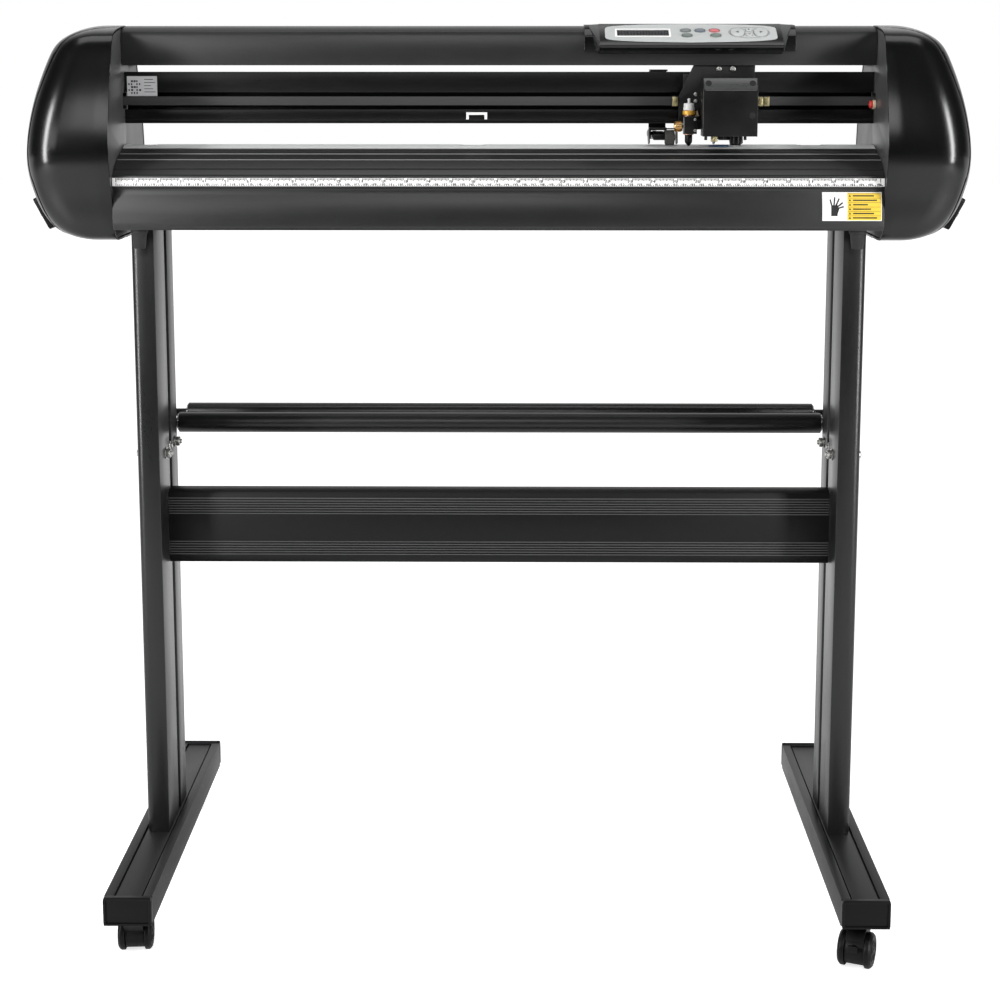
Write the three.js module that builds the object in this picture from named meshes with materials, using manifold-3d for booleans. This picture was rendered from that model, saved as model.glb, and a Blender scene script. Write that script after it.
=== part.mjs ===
// A floor-standing vinyl cutter: a slotted aluminium stand on four twin-wheel casters, and a cutting head
// with a grit-roller platen, a guide rail, a belt-driven tool carriage and a tilted control panel.
// Millimetres. +X is the operator's right, +Y is to the back, +Z is up, and the floor is Z = 0.
import * as THREE from "three";
import { mergeVertices } from "three/addons/utils/BufferGeometryUtils.js";
import Module from "manifold-3d";

const wasm = await Module();
wasm.setup();

// ---------------------------------------------------------------- driving dimensions

const GAP = 0.3; // between pieces that touch

const STAND = {
  footX: 410, // centre line of each foot beam and post
  footBottom: 50,
  footTop: 82,
  footWidth: 54,
  footReach: 250, // half the foot's length, end caps included
  capThick: 8,
  postWidth: 27,
  postDepth: 118,
  postTop: 810.7,
};

const CASTER = { reach: 217, trail: 18, wheelR: 20, halfWidth: 19, hoodHalf: 10.5, sides: 24 };

const PANEL = { low: 404, high: 492, front: -14, back: 14, ribPitch: 3.1 };

const ROLLS = { z: 557, frontY: 86, rearY: 154, radius: 12.5, wall: 1.7, blackHalf: 398, stubR: 5, stubEnd: 426 };

const HEAD = { inside: 436.6, plate: 3 }; // half the clear width between the end covers, side plate thickness

const COVER = {
  out: 536, // half-width of the head at the fullest part of the covers
  fullZ: 884,
  midY: 3,
  midZ: 920,
  halfY: 110,
  halfZ: 122,
  wall: 3,
  roundX: 30,
  upperLean: 0.0016,
  lowerLean: 0.0045,
  roundY: 0.36,
  roundZ: 0.17,
};

const RAIL = { front: -3, back: 18, low: 929, high: 988.5, channelLow: 945, channelHigh: 965, channelDeep: 15 };

const BEAM = { front: -16, back: 75, low: 996, high: 1041.5, sheet: 2.5 };

const PLATEN = { midY: -3, crest: 904, low: 811 };

// The apron bows outwards, furthest at fullZ. Its reach falls by bow times the height from there, squared.
const APRON = { out: 86.8, fullZ: 822, bow: 0.0061, top: 855, step: 5, steps: 8 };

const GRIT = { y: -3, z: 895.2, r: 9, shaftR: 5, length: 22, gearR: 22, xs: [-427 + 12, -30, 364] };

const PINION = { y: 13.8, z: 871.6, r: 7 };

const BELT = { y: 1, low: 950, high: 960, innerR: 6, thick: 1.2, driveX: -461, idlerX: 455 };

const CONSOLE = { x: 220.7, y: -24.5, z: 1032.1, rise: 22.7, run: 41, half: 105, wrapHalf: 121.8 };

const CARRIAGE = { left: 233, right: 295, low: 916, high: 982, front: -62, back: -22.5 };

const TOOL = { x: 219.7, y: -27.5, clampLow: 918, clampHigh: 938, knobZ: 926.3, travel: 3 };

const PINCH = { wheelR: 8.5, wheelWidth: 11, wheelY: -12, wheelZ: 913.1, pivotY: 12, pivotZ: 917 };

const PORT = { x: 531.4, y: 5, z: 825, lean: Math.atan2(19, 36), halfY: 40, halfZ: 20, thick: 14 };

// ---------------------------------------------------------------- materials

const finish = (color, roughness, metalness) => new THREE.MeshStandardMaterial({ color, roughness, metalness });
const MATERIAL = {
  blackMetal: finish(0x1d1d1e, 0.5, 0.5),
  railMetal: finish(0x0c0c0d, 0.4, 0.5),
  blackPlastic: finish(0x141415, 0.55, 0),
  glossPlastic: finish(0x161617, 0.25, 0),
  rubber: finish(0x303030, 0.9, 0),
  steel: finish(0xa9abad, 0.35, 0.9),
  brass: finish(0xb98a3c, 0.35, 0.9),
  belt: finish(0x3c3c3c, 0.8, 0),
  keypad: finish(0xb9bcbb, 0.4, 0.3),
  keyGrey: finish(0x7d8a94, 0.5, 0),
  keyRed: finish(0xc05a58, 0.5, 0),
  keyGreen: finish(0x74877f, 0.5, 0),
  board: finish(0x1f5a34, 0.6, 0),
  whitePlastic: finish(0xe6e6e2, 0.5, 0),
};

// ---------------------------------------------------------------- shape helpers

const X_AXIS = new THREE.Vector3(1, 0, 0);
const Y_AXIS = new THREE.Vector3(0, 1, 0);
const Z_AXIS = new THREE.Vector3(0, 0, 1);

// A box from its [low, high] spans along X, Y and Z.
function box([x0, x1], [y0, y1], [z0, z1]) {
  const geometry = new THREE.BoxGeometry(x1 - x0, y1 - y0, z1 - z0);
  return geometry.translate((x0 + x1) / 2, (y0 + y1) / 2, (z0 + z1) / 2);
}

function outline(points) {
  return new THREE.Shape(points.map(([u, v]) => new THREE.Vector2(u, v)));
}

function extruded(shape, depth, curveSegments = 4) {
  return new THREE.ExtrudeGeometry(shape, { depth, curveSegments, bevelEnabled: false });
}

function shapeWithHoles(points, holes) {
  const shape = outline(points);
  holes.forEach((hole) => shape.holes.push(outline(hole)));
  return shape;
}

// A section in the YZ plane, run along X.
function alongX(points, [x0, x1], holes = []) {
  const geometry = extruded(shapeWithHoles(points, holes), x1 - x0);
  return geometry.applyMatrix4(new THREE.Matrix4().makeBasis(Y_AXIS, Z_AXIS, X_AXIS)).translate(x0, 0, 0);
}

// A section in the XZ plane, run along Y.
function alongY(points, [y0, y1], holes = []) {
  const geometry = extruded(shapeWithHoles(points, holes), y1 - y0);
  const turn = new THREE.Matrix4().makeBasis(X_AXIS, Z_AXIS, Y_AXIS.clone().negate());
  return geometry.applyMatrix4(turn).translate(0, y1, 0);
}

// A section in the XY plane, run along Z.
function alongZ(points, [z0, z1], holes = []) {
  return extruded(shapeWithHoles(points, holes), z1 - z0).translate(0, 0, z0);
}

// Turns a body made around the Y axis to lie around X, Y or Z, through (u, v) of the other two axes.
function layAlong(geometry, axis, [u, v]) {
  if (axis === "x") return geometry.rotateZ(-Math.PI / 2).translate(0, u, v);
  if (axis === "z") return geometry.rotateX(Math.PI / 2).translate(u, v, 0);
  return geometry.translate(u, 0, v);
}

function rod(axis, radius, [low, high], centre, sides = 20) {
  const geometry = new THREE.CylinderGeometry(radius, radius, high - low, sides);
  return layAlong(geometry.translate(0, (low + high) / 2, 0), axis, centre);
}

// A turned body: the profile lists [radius, place along the axis], upwards on the outside.
function turned(axis, profile, centre, sides = 24, start = 0) {
  const points = profile.map(([radius, along]) => new THREE.Vector2(radius, along));
  return layAlong(new THREE.LatheGeometry(points, sides, start), axis, centre);
}

function ellipse(halfU, halfV, u = 0, v = 0, sides = 14) {
  return Array.from({ length: sides }, (_, i) => {
    const angle = (2 * Math.PI * i) / sides;
    return [u + halfU * Math.cos(angle), v + halfV * Math.sin(angle)];
  });
}

function roundedRect([u0, u1], [v0, v1], radius, steps = 3) {
  const corners = [
    [u1 - radius, v1 - radius, 0],
    [u0 + radius, v1 - radius, 1],
    [u0 + radius, v0 + radius, 2],
    [u1 - radius, v0 + radius, 3],
  ];
  return corners.flatMap(([u, v, quarter]) =>
    Array.from({ length: steps + 1 }, (_, i) => {
      const angle = (Math.PI / 2) * (quarter + i / steps);
      return [u + radius * Math.cos(angle), v + radius * Math.sin(angle)];
    }),
  );
}

function solid(geometry) {
  const bare = geometry.clone();
  bare.deleteAttribute("normal");
  bare.deleteAttribute("uv");
  const merged = mergeVertices(bare, 1e-4);
  const triVerts = new Uint32Array(merged.index.array);
  return new wasm.Manifold(new wasm.Mesh({ numProp: 3, vertProperties: merged.attributes.position.array, triVerts }));
}

function geometryOf(manifold) {
  const mesh = manifold.getMesh();
  const geometry = new THREE.BufferGeometry();
  geometry.setAttribute("position", new THREE.BufferAttribute(mesh.vertProperties, 3));
  geometry.setIndex(new THREE.BufferAttribute(mesh.triVerts, 1));
  geometry.computeVertexNormals();
  return geometry;
}

function join(first, ...others) {
  return geometryOf(others.reduce((sum, other) => sum.add(solid(other)), solid(first)));
}

function cut(body, ...tools) {
  return geometryOf(tools.reduce((rest, tool) => rest.subtract(solid(tool)), solid(body)));
}

const mirrored = (points, about) => points.map(([u, v]) => [2 * about - u, v]).reverse();

const root = new THREE.Group();

function add(name, geometry, material, parent = root) {
  const mesh = new THREE.Mesh(geometry, material);
  mesh.name = name;
  parent.add(mesh);
  return mesh;
}

// Adds a piece of the left side that is drawn as its right-hand twin.
function addMirrored(name, geometry, material) {
  add(name, geometry, material).scale.x = -1;
}

// ---------------------------------------------------------------- stand

// Foot beam: a tube with a sunk centre strip between two grooves.
function footBeam() {
  const half = STAND.footWidth / 2;
  const top = STAND.footTop;
  const strip = 14.5;
  const rail = 16.5;
  const grooved = [[rail, top], [rail, top - 5], [strip, top - 5], [strip, top - 1.5]];
  const section = [
    [-half, STAND.footBottom],
    [half, STAND.footBottom],
    [half, top],
    ...grooved,
    ...mirrored(grooved, 0),
    [-half, top],
  ];
  const hollow = roundedRect([-half + 3, half - 3], [STAND.footBottom + 3, top - 8], 1, 1);
  const reach = STAND.footReach - STAND.capThick - GAP;
  const stemHoles = [-1, 1].map((end) =>
    rod("z", 6, [STAND.footBottom - 1, STAND.footBottom + 5], [0, end * CASTER.reach], 16),
  );
  return cut(alongY(section, [-reach, reach], [hollow]), ...stemHoles).translate(STAND.footX, 0, 0);
}

// End cap of a foot beam, at the back end: a plate with a thin lip on top and a plug into the tube.
function footCap() {
  const half = STAND.footWidth / 2;
  const { footBottom, footTop, footReach, capThick } = STAND;
  const plate = alongY(roundedRect([-half, half], [footBottom, footTop], 3, 2), [footReach - capThick, footReach]);
  const lip = box([-half + 1, half - 1], [footReach - 3, footReach], [footTop - 1, footTop + 1]);
  const plug = box([-half + 4, half - 4], [footReach - 20, footReach - capThick + 1], [footBottom + 4, footTop - 9]);
  return join(plate, lip, plug);
}

// Post: a two-chamber extrusion, rounded on its outer edges, with a slot down its inner face.
function post() {
  const inner = STAND.footX - STAND.postWidth / 2;
  const outer = STAND.footX + STAND.postWidth / 2;
  const front = -STAND.postDepth / 2;
  const back = STAND.postDepth / 2;
  const slot = [5, 21];
  const slotDeep = 6;
  const round = 8;
  const arc = (y, from) =>
    [0, 1, 2, 3].map((i) => {
      const angle = from + (i * Math.PI) / 6;
      return [outer - round + round * Math.cos(angle), y + round * Math.sin(angle)];
    });
  const section = [
    [inner, front],
    ...arc(front + round, -Math.PI / 2),
    ...arc(back - round, 0),
    [inner, back],
    [inner, slot[1]],
    [inner + slotDeep, slot[1]],
    [inner + slotDeep, slot[0]],
    [inner, slot[0]],
  ];
  const chambers = [
    roundedRect([inner + 3, outer - 3], [front + 3, slot[0] - 3], 4, 2),
    roundedRect([inner + 3, outer - 3], [slot[1] + 3, back - 3], 4, 2),
  ];
  return alongZ(section, [STAND.footTop - 1.5 + GAP, STAND.postTop], chambers);
}

// Cross panel: a flat tube with two ribbed bands on its front.
function crossPanel() {
  const { low, high, front, back, ribPitch } = PANEL;
  const ribs = (from, count) =>
    Array.from({ length: count }, (_, i) => from + i * ribPitch).flatMap((z) => [
      [front, z],
      [front + 1.2, z + 0.4],
      [front + 1.2, z + 1.5],
      [front, z + 1.9],
    ]);
  const section = [
    [front + 4, low],
    [front, low + 7],
    ...ribs(low + 11, 5),
    ...ribs(high - 27, 5),
    [front, high - 8],
    [front + 3, high - 2],
    [front + 8, high],
    [back, high],
    [back, low],
  ];
  const hollow = [[front + 4, low + 6], [back - 3, low + 6], [back - 3, high - 5], [front + 4, high - 5]];
  const reach = STAND.footX - STAND.postWidth / 2 - GAP;
  return alongX(section, [-reach, reach], [hollow]);
}

// Bracket on the outer face of a post, holding the ends of both roll tubes.
function rollerBracket() {
  const x0 = STAND.footX + STAND.postWidth / 2 + GAP;
  const section = [[-30, 528], [62, 528], [160, 540], [172, 550], [172, 568], [164, 577], [72, 577], [-30, 557]];
  const holes = [ROLLS.frontY, ROLLS.rearY].map((y) => ellipse(ROLLS.stubR + 0.5, ROLLS.stubR + 0.5, y, ROLLS.z));
  return alongX(section, [x0, x0 + 3], holes);
}

// Roll tube: a thin tube closed by two hubs, each with a hollow stub shaft.
function rollerTube(y) {
  const { radius, wall, blackHalf, stubR, stubEnd, z } = ROLLS;
  const bore = 2.5;
  const hub = 3;
  const profile = [
    [bore, -stubEnd],
    [stubR, -stubEnd],
    [stubR, -blackHalf],
    [radius, -blackHalf],
    [radius, blackHalf],
    [stubR, blackHalf],
    [stubR, stubEnd],
    [bore, stubEnd],
    [bore, blackHalf - hub],
    [radius - wall, blackHalf - hub],
    [radius - wall, -blackHalf + hub],
    [bore, -blackHalf + hub],
    [bore, -stubEnd],
  ];
  return turned("x", profile, [y, z], 24);
}

function buildStand() {
  const beam = footBeam();
  const cap = footCap();
  for (const [side, sign] of [["left", -1], ["right", 1]]) {
    const beamMesh = add(`foot_beam_${side}`, beam, MATERIAL.blackMetal);
    beamMesh.position.x = (sign - 1) * STAND.footX;
    for (const [end, turn] of [["front", Math.PI], ["rear", 0]]) {
      const capMesh = add(`foot_cap_${end}_${side}`, cap, MATERIAL.blackPlastic);
      capMesh.position.x = sign * STAND.footX;
      capMesh.rotation.z = turn;
    }
  }
  add("post_right", post(), MATERIAL.blackMetal);
  addMirrored("post_left", post(), MATERIAL.blackMetal);
  add("cross_panel", crossPanel(), MATERIAL.blackMetal);
  add("roller_bracket_right", rollerBracket(), MATERIAL.blackMetal);
  addMirrored("roller_bracket_left", rollerBracket(), MATERIAL.blackMetal);
  add("roller_tube_front", rollerTube(ROLLS.frontY), MATERIAL.blackMetal);
  add("roller_tube_rear", rollerTube(ROLLS.rearY), MATERIAL.blackMetal);
}

// ---------------------------------------------------------------- casters, drawn trailing along +Y

// Hood: a disc-shaped core between the wheels, a neck, the stem and a T-shaped brake tab.
function casterHood() {
  const { trail, wheelR, hoodHalf } = CASTER;
  const disc = rod("x", wheelR - 2.5, [-hoodHalf, hoodHalf], [trail, wheelR], 20);
  const neck = alongX([[-11, 49.5], [-11, 40], [2, 26], [20, 30], [31, 34], [22, 43], [11, 49.5]], [-hoodHalf, hoodHalf]);
  const stem = rod("z", 5, [45, 68], [0, 0], 16);
  const tabStem = box([-2, 2], [30, 41], [27, 30]);
  const tabBar = box([-5.5, 5.5], [38.5, 41.5], [25, 32]);
  const axleHole = rod("x", 3.6, [-hoodHalf - 1, hoodHalf + 1], [trail, wheelR], 16);
  const floorCut = box([-20, 20], [-20, 60], [-1, 4]);
  return cut(join(disc, neck, stem, tabStem, tabBar), axleHole, floorCut);
}

// Two wheels on one axle. A flat of the many-sided rim faces the floor.
function casterWheels() {
  const { trail, wheelR, halfWidth, hoodHalf, sides } = CASTER;
  const rim = wheelR / Math.cos(Math.PI / sides);
  const inner = hoodHalf + 0.6;
  const profile = [
    [0, -halfWidth + 1],
    [11, -halfWidth + 1],
    [rim - 3, -halfWidth],
    [rim, -halfWidth + 3],
    [rim, -inner],
    [3, -inner],
    [3, inner],
    [rim, inner],
    [rim, halfWidth - 3],
    [rim - 3, halfWidth],
    [11, halfWidth - 1],
    [0, halfWidth - 1],
  ];
  return turned("x", profile, [trail, wheelR], sides, Math.PI / sides);
}

// How far each caster has swivelled, in degrees.
const CASTER_TURN = { front_left: 4, front_right: 158, rear_left: 83, rear_right: -97 };

function buildCasters() {
  const hood = casterHood();
  const wheels = casterWheels();
  for (const [place, degrees] of Object.entries(CASTER_TURN)) {
    const caster = new THREE.Group();
    caster.position.x = place.endsWith("left") ? -STAND.footX : STAND.footX;
    caster.position.y = place.startsWith("front") ? -CASTER.reach : CASTER.reach;
    caster.rotation.z = THREE.MathUtils.degToRad(degrees);
    root.add(caster);
    add(`caster_hood_${place}`, hood, MATERIAL.blackPlastic, caster);
    add(`caster_wheels_${place}`, wheels, MATERIAL.blackPlastic, caster);
  }
}

// ---------------------------------------------------------------- head: covers and frame

// Outline of an end cover where it meets the frame, as [y, z], from the top round the front.
const COVER_PROFILE = [
  [18, 1042],
  [-8, 1041],
  [-32, 1038],
  [-54, 1034],
  [-67, 1025],
  [-74, 1002],
  [-88, 972],
  [-100, 931],
  [-106, 896],
  [-101, 876],
  [-92, 858],
  [-88, 831],
  [-83, 806],
  [-70, 797],
  [0, 797],
  [82, 797],
  [98, 806],
  [108, 842],
  [113, 900],
  [100, 945],
  [80, 991],
  [66, 1025],
  [46, 1037],
];

// The cover's outline moved inwards by a wall thickness.
function coverOutline(inset) {
  return COVER_PROFILE.map(([y, z]) => [
    COVER.midY + (y - COVER.midY) * (1 - inset / COVER.halfY),
    COVER.midZ + (z - COVER.midZ) * (1 - inset / COVER.halfZ),
  ]);
}

// Rings of one skin of the cover, from the open end outwards: straight, round over the edge, across the side.
function coverRings(inset) {
  const base = coverOutline(inset);
  const sideAt = (z) => {
    const lean = z > COVER.fullZ ? COVER.upperLean : COVER.lowerLean;
    return COVER.out - inset - lean * (z - COVER.fullZ) ** 2;
  };
  const ring = (shrinkY, shrinkZ, back) =>
    base.map(([y, z]) => {
      const ringY = COVER.midY + (y - COVER.midY) * shrinkY;
      const ringZ = COVER.midZ + (z - COVER.midZ) * shrinkZ;
      return [back === null ? HEAD.inside : sideAt(ringZ) - back, ringY, ringZ];
    });
  const rounding = [0, 1, 2, 3, 4].map((step) => {
    const angle = (step * Math.PI) / 8;
    const drop = 1 - Math.cos(angle);
    return ring(1 - COVER.roundY * drop, 1 - COVER.roundZ * drop, COVER.roundX * (1 - Math.sin(angle)));
  });
  const across = [0.6, 0.25].map((share) => ring(share * (1 - COVER.roundY), share * (1 - COVER.roundZ), 0));
  return [ring(1, 1, null), ...rounding, ...across];
}

// A shell open towards the frame: an outer and an inner skin joined round the rim.
function coverShell() {
  const outer = coverRings(0);
  const inner = coverRings(COVER.wall);
  const count = COVER_PROFILE.length;
  const positions = [...outer, ...inner].flat(2);
  positions.push(COVER.out, COVER.midY, COVER.midZ, COVER.out - COVER.wall, COVER.midY, COVER.midZ);
  const tips = [(outer.length + inner.length) * count, (outer.length + inner.length) * count + 1];
  const index = [];
  const band = (ringA, ringB) => {
    for (let i = 0; i < count; i += 1) {
      const next = (i + 1) % count;
      const [a, b, c, d] = [ringA * count + i, ringA * count + next, ringB * count + next, ringB * count + i];
      index.push(a, b, c, a, c, d);
    }
  };
  const last = outer.length - 1;
  for (let r = 0; r < last; r += 1) band(r, r + 1);
  for (let r = 0; r < last; r += 1) band(outer.length + r + 1, outer.length + r);
  band(outer.length, 0);
  for (let i = 0; i < count; i += 1) {
    const next = (i + 1) % count;
    index.push(last * count + i, last * count + next, tips[0]);
    index.push((outer.length + last) * count + next, (outer.length + last) * count + i, tips[1]);
  }
  const geometry = new THREE.BufferGeometry();
  geometry.setAttribute("position", new THREE.Float32BufferAttribute(positions, 3));
  geometry.setIndex(index);
  return geometry;
}

// Moves a body drawn at the origin, with +X as its outward face, onto the slanted port boss.
function ontoPort(geometry) {
  const outward = new THREE.Vector3(Math.cos(PORT.lean), 0, -Math.sin(PORT.lean));
  const up = new THREE.Vector3(Math.sin(PORT.lean), 0, Math.cos(PORT.lean));
  const frame = new THREE.Matrix4().makeBasis(outward, Y_AXIS, up).setPosition(PORT.x, PORT.y, PORT.z);
  return geometry.applyMatrix4(frame);
}

const INLET = { y: -14, halfY: 16, halfZ: 12.5, deep: 24 };
const SWITCH = { y: 20, halfY: 11, halfZ: 8 };

// End cover with its port boss; the left one is bored for the power inlet and the switch.
function endCover(withPower) {
  const { halfY, halfZ, thick } = PORT;
  const boss = ontoPort(alongX(roundedRect([-halfY, halfY], [-halfZ, halfZ], 4, 2), [-thick, 0]));
  const body = join(coverShell(), boss);
  if (!withPower) return body;
  const inletHole = box([-40, 5], [INLET.y - INLET.halfY, INLET.y + INLET.halfY], [-INLET.halfZ, INLET.halfZ]);
  const switchHole = box([-40, 5], [SWITCH.y - SWITCH.halfY, SWITCH.y + SWITCH.halfY], [-SWITCH.halfZ, SWITCH.halfZ]);
  return cut(body, ontoPort(inletHole), ontoPort(switchHole));
}

// Side plate: closes the cover and carries the frame, with a slot for the belt and a hole for the grit shaft.
function sidePlate() {
  const x0 = HEAD.inside + 0.4;
  const beltSlot = [[BELT.y - 10, BELT.low - 4], [BELT.y + 10, BELT.low - 4], [BELT.y + 10, BELT.high + 4]];
  beltSlot.push([BELT.y - 10, BELT.high + 4]);
  const shaftHole = ellipse(GRIT.shaftR + 0.6, GRIT.shaftR + 0.6, GRIT.y, GRIT.z);
  return alongX(coverOutline(COVER.wall + 0.6), [x0, x0 + HEAD.plate], [beltSlot, shaftHole]);
}

// Top beam: a folded sheet channel, open below.
function topBeam() {
  const outer = [
    [BEAM.front, BEAM.low],
    [BEAM.front, 1029],
    [-13, 1035],
    [-5, 1039],
    [20, BEAM.high],
    [52, 1039.5],
    [66, 1035],
    [73, 1028],
    [BEAM.back, 1018],
    [BEAM.back, BEAM.low],
  ];
  const midY = (BEAM.front + BEAM.back) / 2;
  const halfY = (BEAM.back - BEAM.front) / 2;
  const inner = outer.map(([y, z]) => [
    midY + (y - midY) * (1 - BEAM.sheet / halfY),
    z === BEAM.low ? z : z - BEAM.sheet,
  ]);
  const reach = HEAD.inside - GAP;
  return alongX([...outer, ...inner.reverse()], [-reach, reach]);
}

// Guide rail: a bar with a channel along its front for the back run of the belt.
function guideRail() {
  const { front, back, low, high, channelLow, channelHigh, channelDeep } = RAIL;
  const section = [
    [front, low],
    [front, low + 4],
    [front + 0.8, low + 4.4],
    [front + 0.8, low + 5.4],
    [front, low + 5.8],
    [front, channelLow],
    [front + channelDeep, channelLow],
    [front + channelDeep, channelHigh],
    [front, channelHigh],
    [front, high],
    [back, high],
    [back, low],
  ];
  const reach = HEAD.inside - GAP;
  return alongX(section, [-reach, reach]);
}

// Platen and apron: one hollow extrusion, stepped on both slopes, with slots over the grit rollers.
function platen() {
  const apronFace = Array.from({ length: APRON.steps + 1 }, (_, i) => APRON.top - i * APRON.step).map((z) => [
    APRON.out - APRON.bow * (z - APRON.fullZ) ** 2,
    z,
  ]);
  const slope = [
    [10, 904],
    [21, 900.4],
    [21, 899.4],
    [38, 895.6],
    [38, 894.6],
    [56, 889.9],
    [56, 888.9],
    [70, 882.6],
    [79, 873.5],
    [83.4, 872.5],
    [83.4, 859.5],
    [81.5, 858.8],
    [80.4, 857.2],
    ...apronFace,
    [83, PLATEN.low],
  ];
  const inside = [
    [8, 901],
    [20, 896.4],
    [37, 891.6],
    [55, 885.9],
    [68, 879.2],
    [77, 869.5],
    [77, 856],
    [81.6, 840],
    [83.4, 826],
    [81, 814],
  ];
  const bothSlopes = (points) => [
    ...points.map(([out, z]) => [PLATEN.midY + out, z]).reverse(),
    ...points.map(([out, z]) => [PLATEN.midY - out, z]),
  ];
  const reach = HEAD.inside - GAP;
  const bar = alongX(bothSlopes(slope), [-reach, reach], [bothSlopes(inside)]);
  const slots = GRIT.xs.map((x) =>
    box([x - GRIT.length / 2 - 2, x + GRIT.length / 2 + 2], [GRIT.y - 10.5, GRIT.y + 10.5], [890, 910]),
  );
  return cut(bar, ...slots);
}

function buildHeadFrame() {
  addMirrored("end_cover_left", endCover(true), MATERIAL.glossPlastic);
  add("end_cover_right", endCover(false), MATERIAL.glossPlastic);
  addMirrored("side_plate_left", sidePlate(), MATERIAL.blackMetal);
  add("side_plate_right", sidePlate(), MATERIAL.blackMetal);
  add("top_beam", topBeam(), MATERIAL.blackMetal);
  add("guide_rail", guideRail(), MATERIAL.railMetal);
  add("platen", platen(), MATERIAL.blackMetal);
}

// ---------------------------------------------------------------- head: drive

// The toothed belt as a flat loop round the two pulleys.
function driveBelt() {
  const loop = (radius) => {
    const half = (x, from) =>
      Array.from({ length: 9 }, (_, i) => {
        const angle = from + (i * Math.PI) / 8;
        return [x + radius * Math.cos(angle), BELT.y + radius * Math.sin(angle)];
      });
    return [...half(BELT.idlerX, -Math.PI / 2), ...half(BELT.driveX, Math.PI / 2)];
  };
  return alongZ(loop(BELT.innerR + BELT.thick), [BELT.low, BELT.high], [loop(BELT.innerR)]);
}

// Flanged pulley that carries the belt.
function beltPulley(x) {
  const core = BELT.innerR - GAP;
  const flange = BELT.innerR + 2.4;
  const profile = [
    [0, BELT.low - 1.8],
    [flange, BELT.low - 1.8],
    [flange, BELT.low - GAP],
    [core, BELT.low - GAP],
    [core, BELT.high + GAP],
    [flange, BELT.high + GAP],
    [flange, BELT.high + 1.8],
    [0, BELT.high + 1.8],
  ];
  return turned("z", profile, [x, BELT.y], 20);
}

// Square stepper motor, as its body and the short stub of its shaft.
function carriageMotor() {
  const body = alongZ(roundedRect([-20.5, 20.5], [-20.5, 20.5], 4, 2), [903, 944]);
  const boss = rod("z", 11, [943, 946], [0, 0], 20);
  const stub = rod("z", 2.5, [945, BELT.low - 2.2], [0, 0], 12);
  return join(body, boss, stub).translate(BELT.driveX, BELT.y, 0);
}

const GEAR = { from: 445, to: 452 }; // where the grit gear and its pinion lie along X

// Grit shaft: one shaft with three knurled rollers and the driven gear on its right end.
function gritShaft() {
  const shaft = rod("x", GRIT.shaftR, [-442, GEAR.to + 1], [GRIT.y, GRIT.z], 16);
  const rollers = GRIT.xs.map((x) =>
    rod("x", GRIT.r, [x - GRIT.length / 2, x + GRIT.length / 2], [GRIT.y, GRIT.z], 24),
  );
  return join(shaft, ...rollers, rod("x", GRIT.gearR, [GEAR.from, GEAR.to], [GRIT.y, GRIT.z], 44));
}

function feedPinion() {
  const teeth = rod("x", PINION.r - 0.4, [GEAR.from, GEAR.to], [PINION.y, PINION.z], 14);
  return join(teeth, rod("x", 2.5, [GEAR.to - 1, GEAR.to + 2.6], [PINION.y, PINION.z], 12));
}

function feedMotor() {
  const front = GEAR.to + 3.4;
  const body = alongX(roundedRect([-20.5, 20.5], [-20.5, 20.5], 4, 2), [front + 2, front + 42]);
  const boss = rod("x", 11, [front, front + 3], [0, 0], 20);
  return join(body, boss).translate(0, PINION.y, PINION.z);
}

function mainBoard() {
  const sheet = box([-500, -498.4], [-62, 62], [826, 896]);
  const sockets = [-50, -30, -10].map((y) => box([-498.8, -490], [y, y + 14], [830, 840]));
  const driver = box([-498.8, -494], [20, 44], [850, 874]);
  const capacitor = rod("x", 6, [-498.8, -482], [-30, 880], 14);
  return join(sheet, ...sockets, driver, capacitor);
}

function buildDrive() {
  add("drive_belt", driveBelt(), MATERIAL.belt);
  add("drive_pulley", beltPulley(BELT.driveX), MATERIAL.steel);
  add("idler_pulley", beltPulley(BELT.idlerX), MATERIAL.steel);
  add("carriage_motor", carriageMotor(), MATERIAL.steel);
  add("grit_shaft", gritShaft(), MATERIAL.steel);
  add("feed_pinion", feedPinion(), MATERIAL.brass);
  add("feed_motor", feedMotor(), MATERIAL.steel);
  add("main_board", mainBoard(), MATERIAL.board);
}

// ---------------------------------------------------------------- head: control panel

// Keys on the tilted face, in its own frame: u to the right, v up the slope.
const OVAL = { halfU: 6.3, halfV: 3.9 };
const DISC = { halfU: 8.3, halfV: 10.8 };
const DOT = { halfU: 3.6, halfV: 3.9 };
const KEYS = [
  { name: "key_reset", u: -5.8, v: 3.7, ...OVAL, material: "keyGrey" },
  { name: "key_test", u: 10.7, v: 3.7, ...OVAL, material: "keyGrey" },
  { name: "key_stop", u: 27.1, v: 3.7, ...OVAL, material: "keyRed" },
  { name: "key_menu", u: -4.8, v: -7.8, ...OVAL, material: "keyGreen" },
  { name: "key_enter", u: 28.1, v: -7.8, ...OVAL, material: "keyGreen" },
  { name: "key_left", u: 53.3, v: -0.6, ...DISC, material: "keypad" },
  { name: "key_right", u: 80.1, v: -0.6, ...DISC, material: "keypad" },
  { name: "key_up", u: 66.7, v: 5.6, ...DOT, material: "keypad" },
  { name: "key_down", u: 66.7, v: -5.6, ...DOT, material: "keypad" },
];
const KEY = { base: 0.9, top: 2.5, clearance: 0.5 };
const KEYPAD = { half: 98.3, low: -22.3, high: 20.5, base: GAP, top: 1.5 };
const DISPLAY_WINDOW = [[-84.6, -8.2], [-25.3, -8.2], [-25.3, 6.4], [-84.6, 6.4]];

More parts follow.
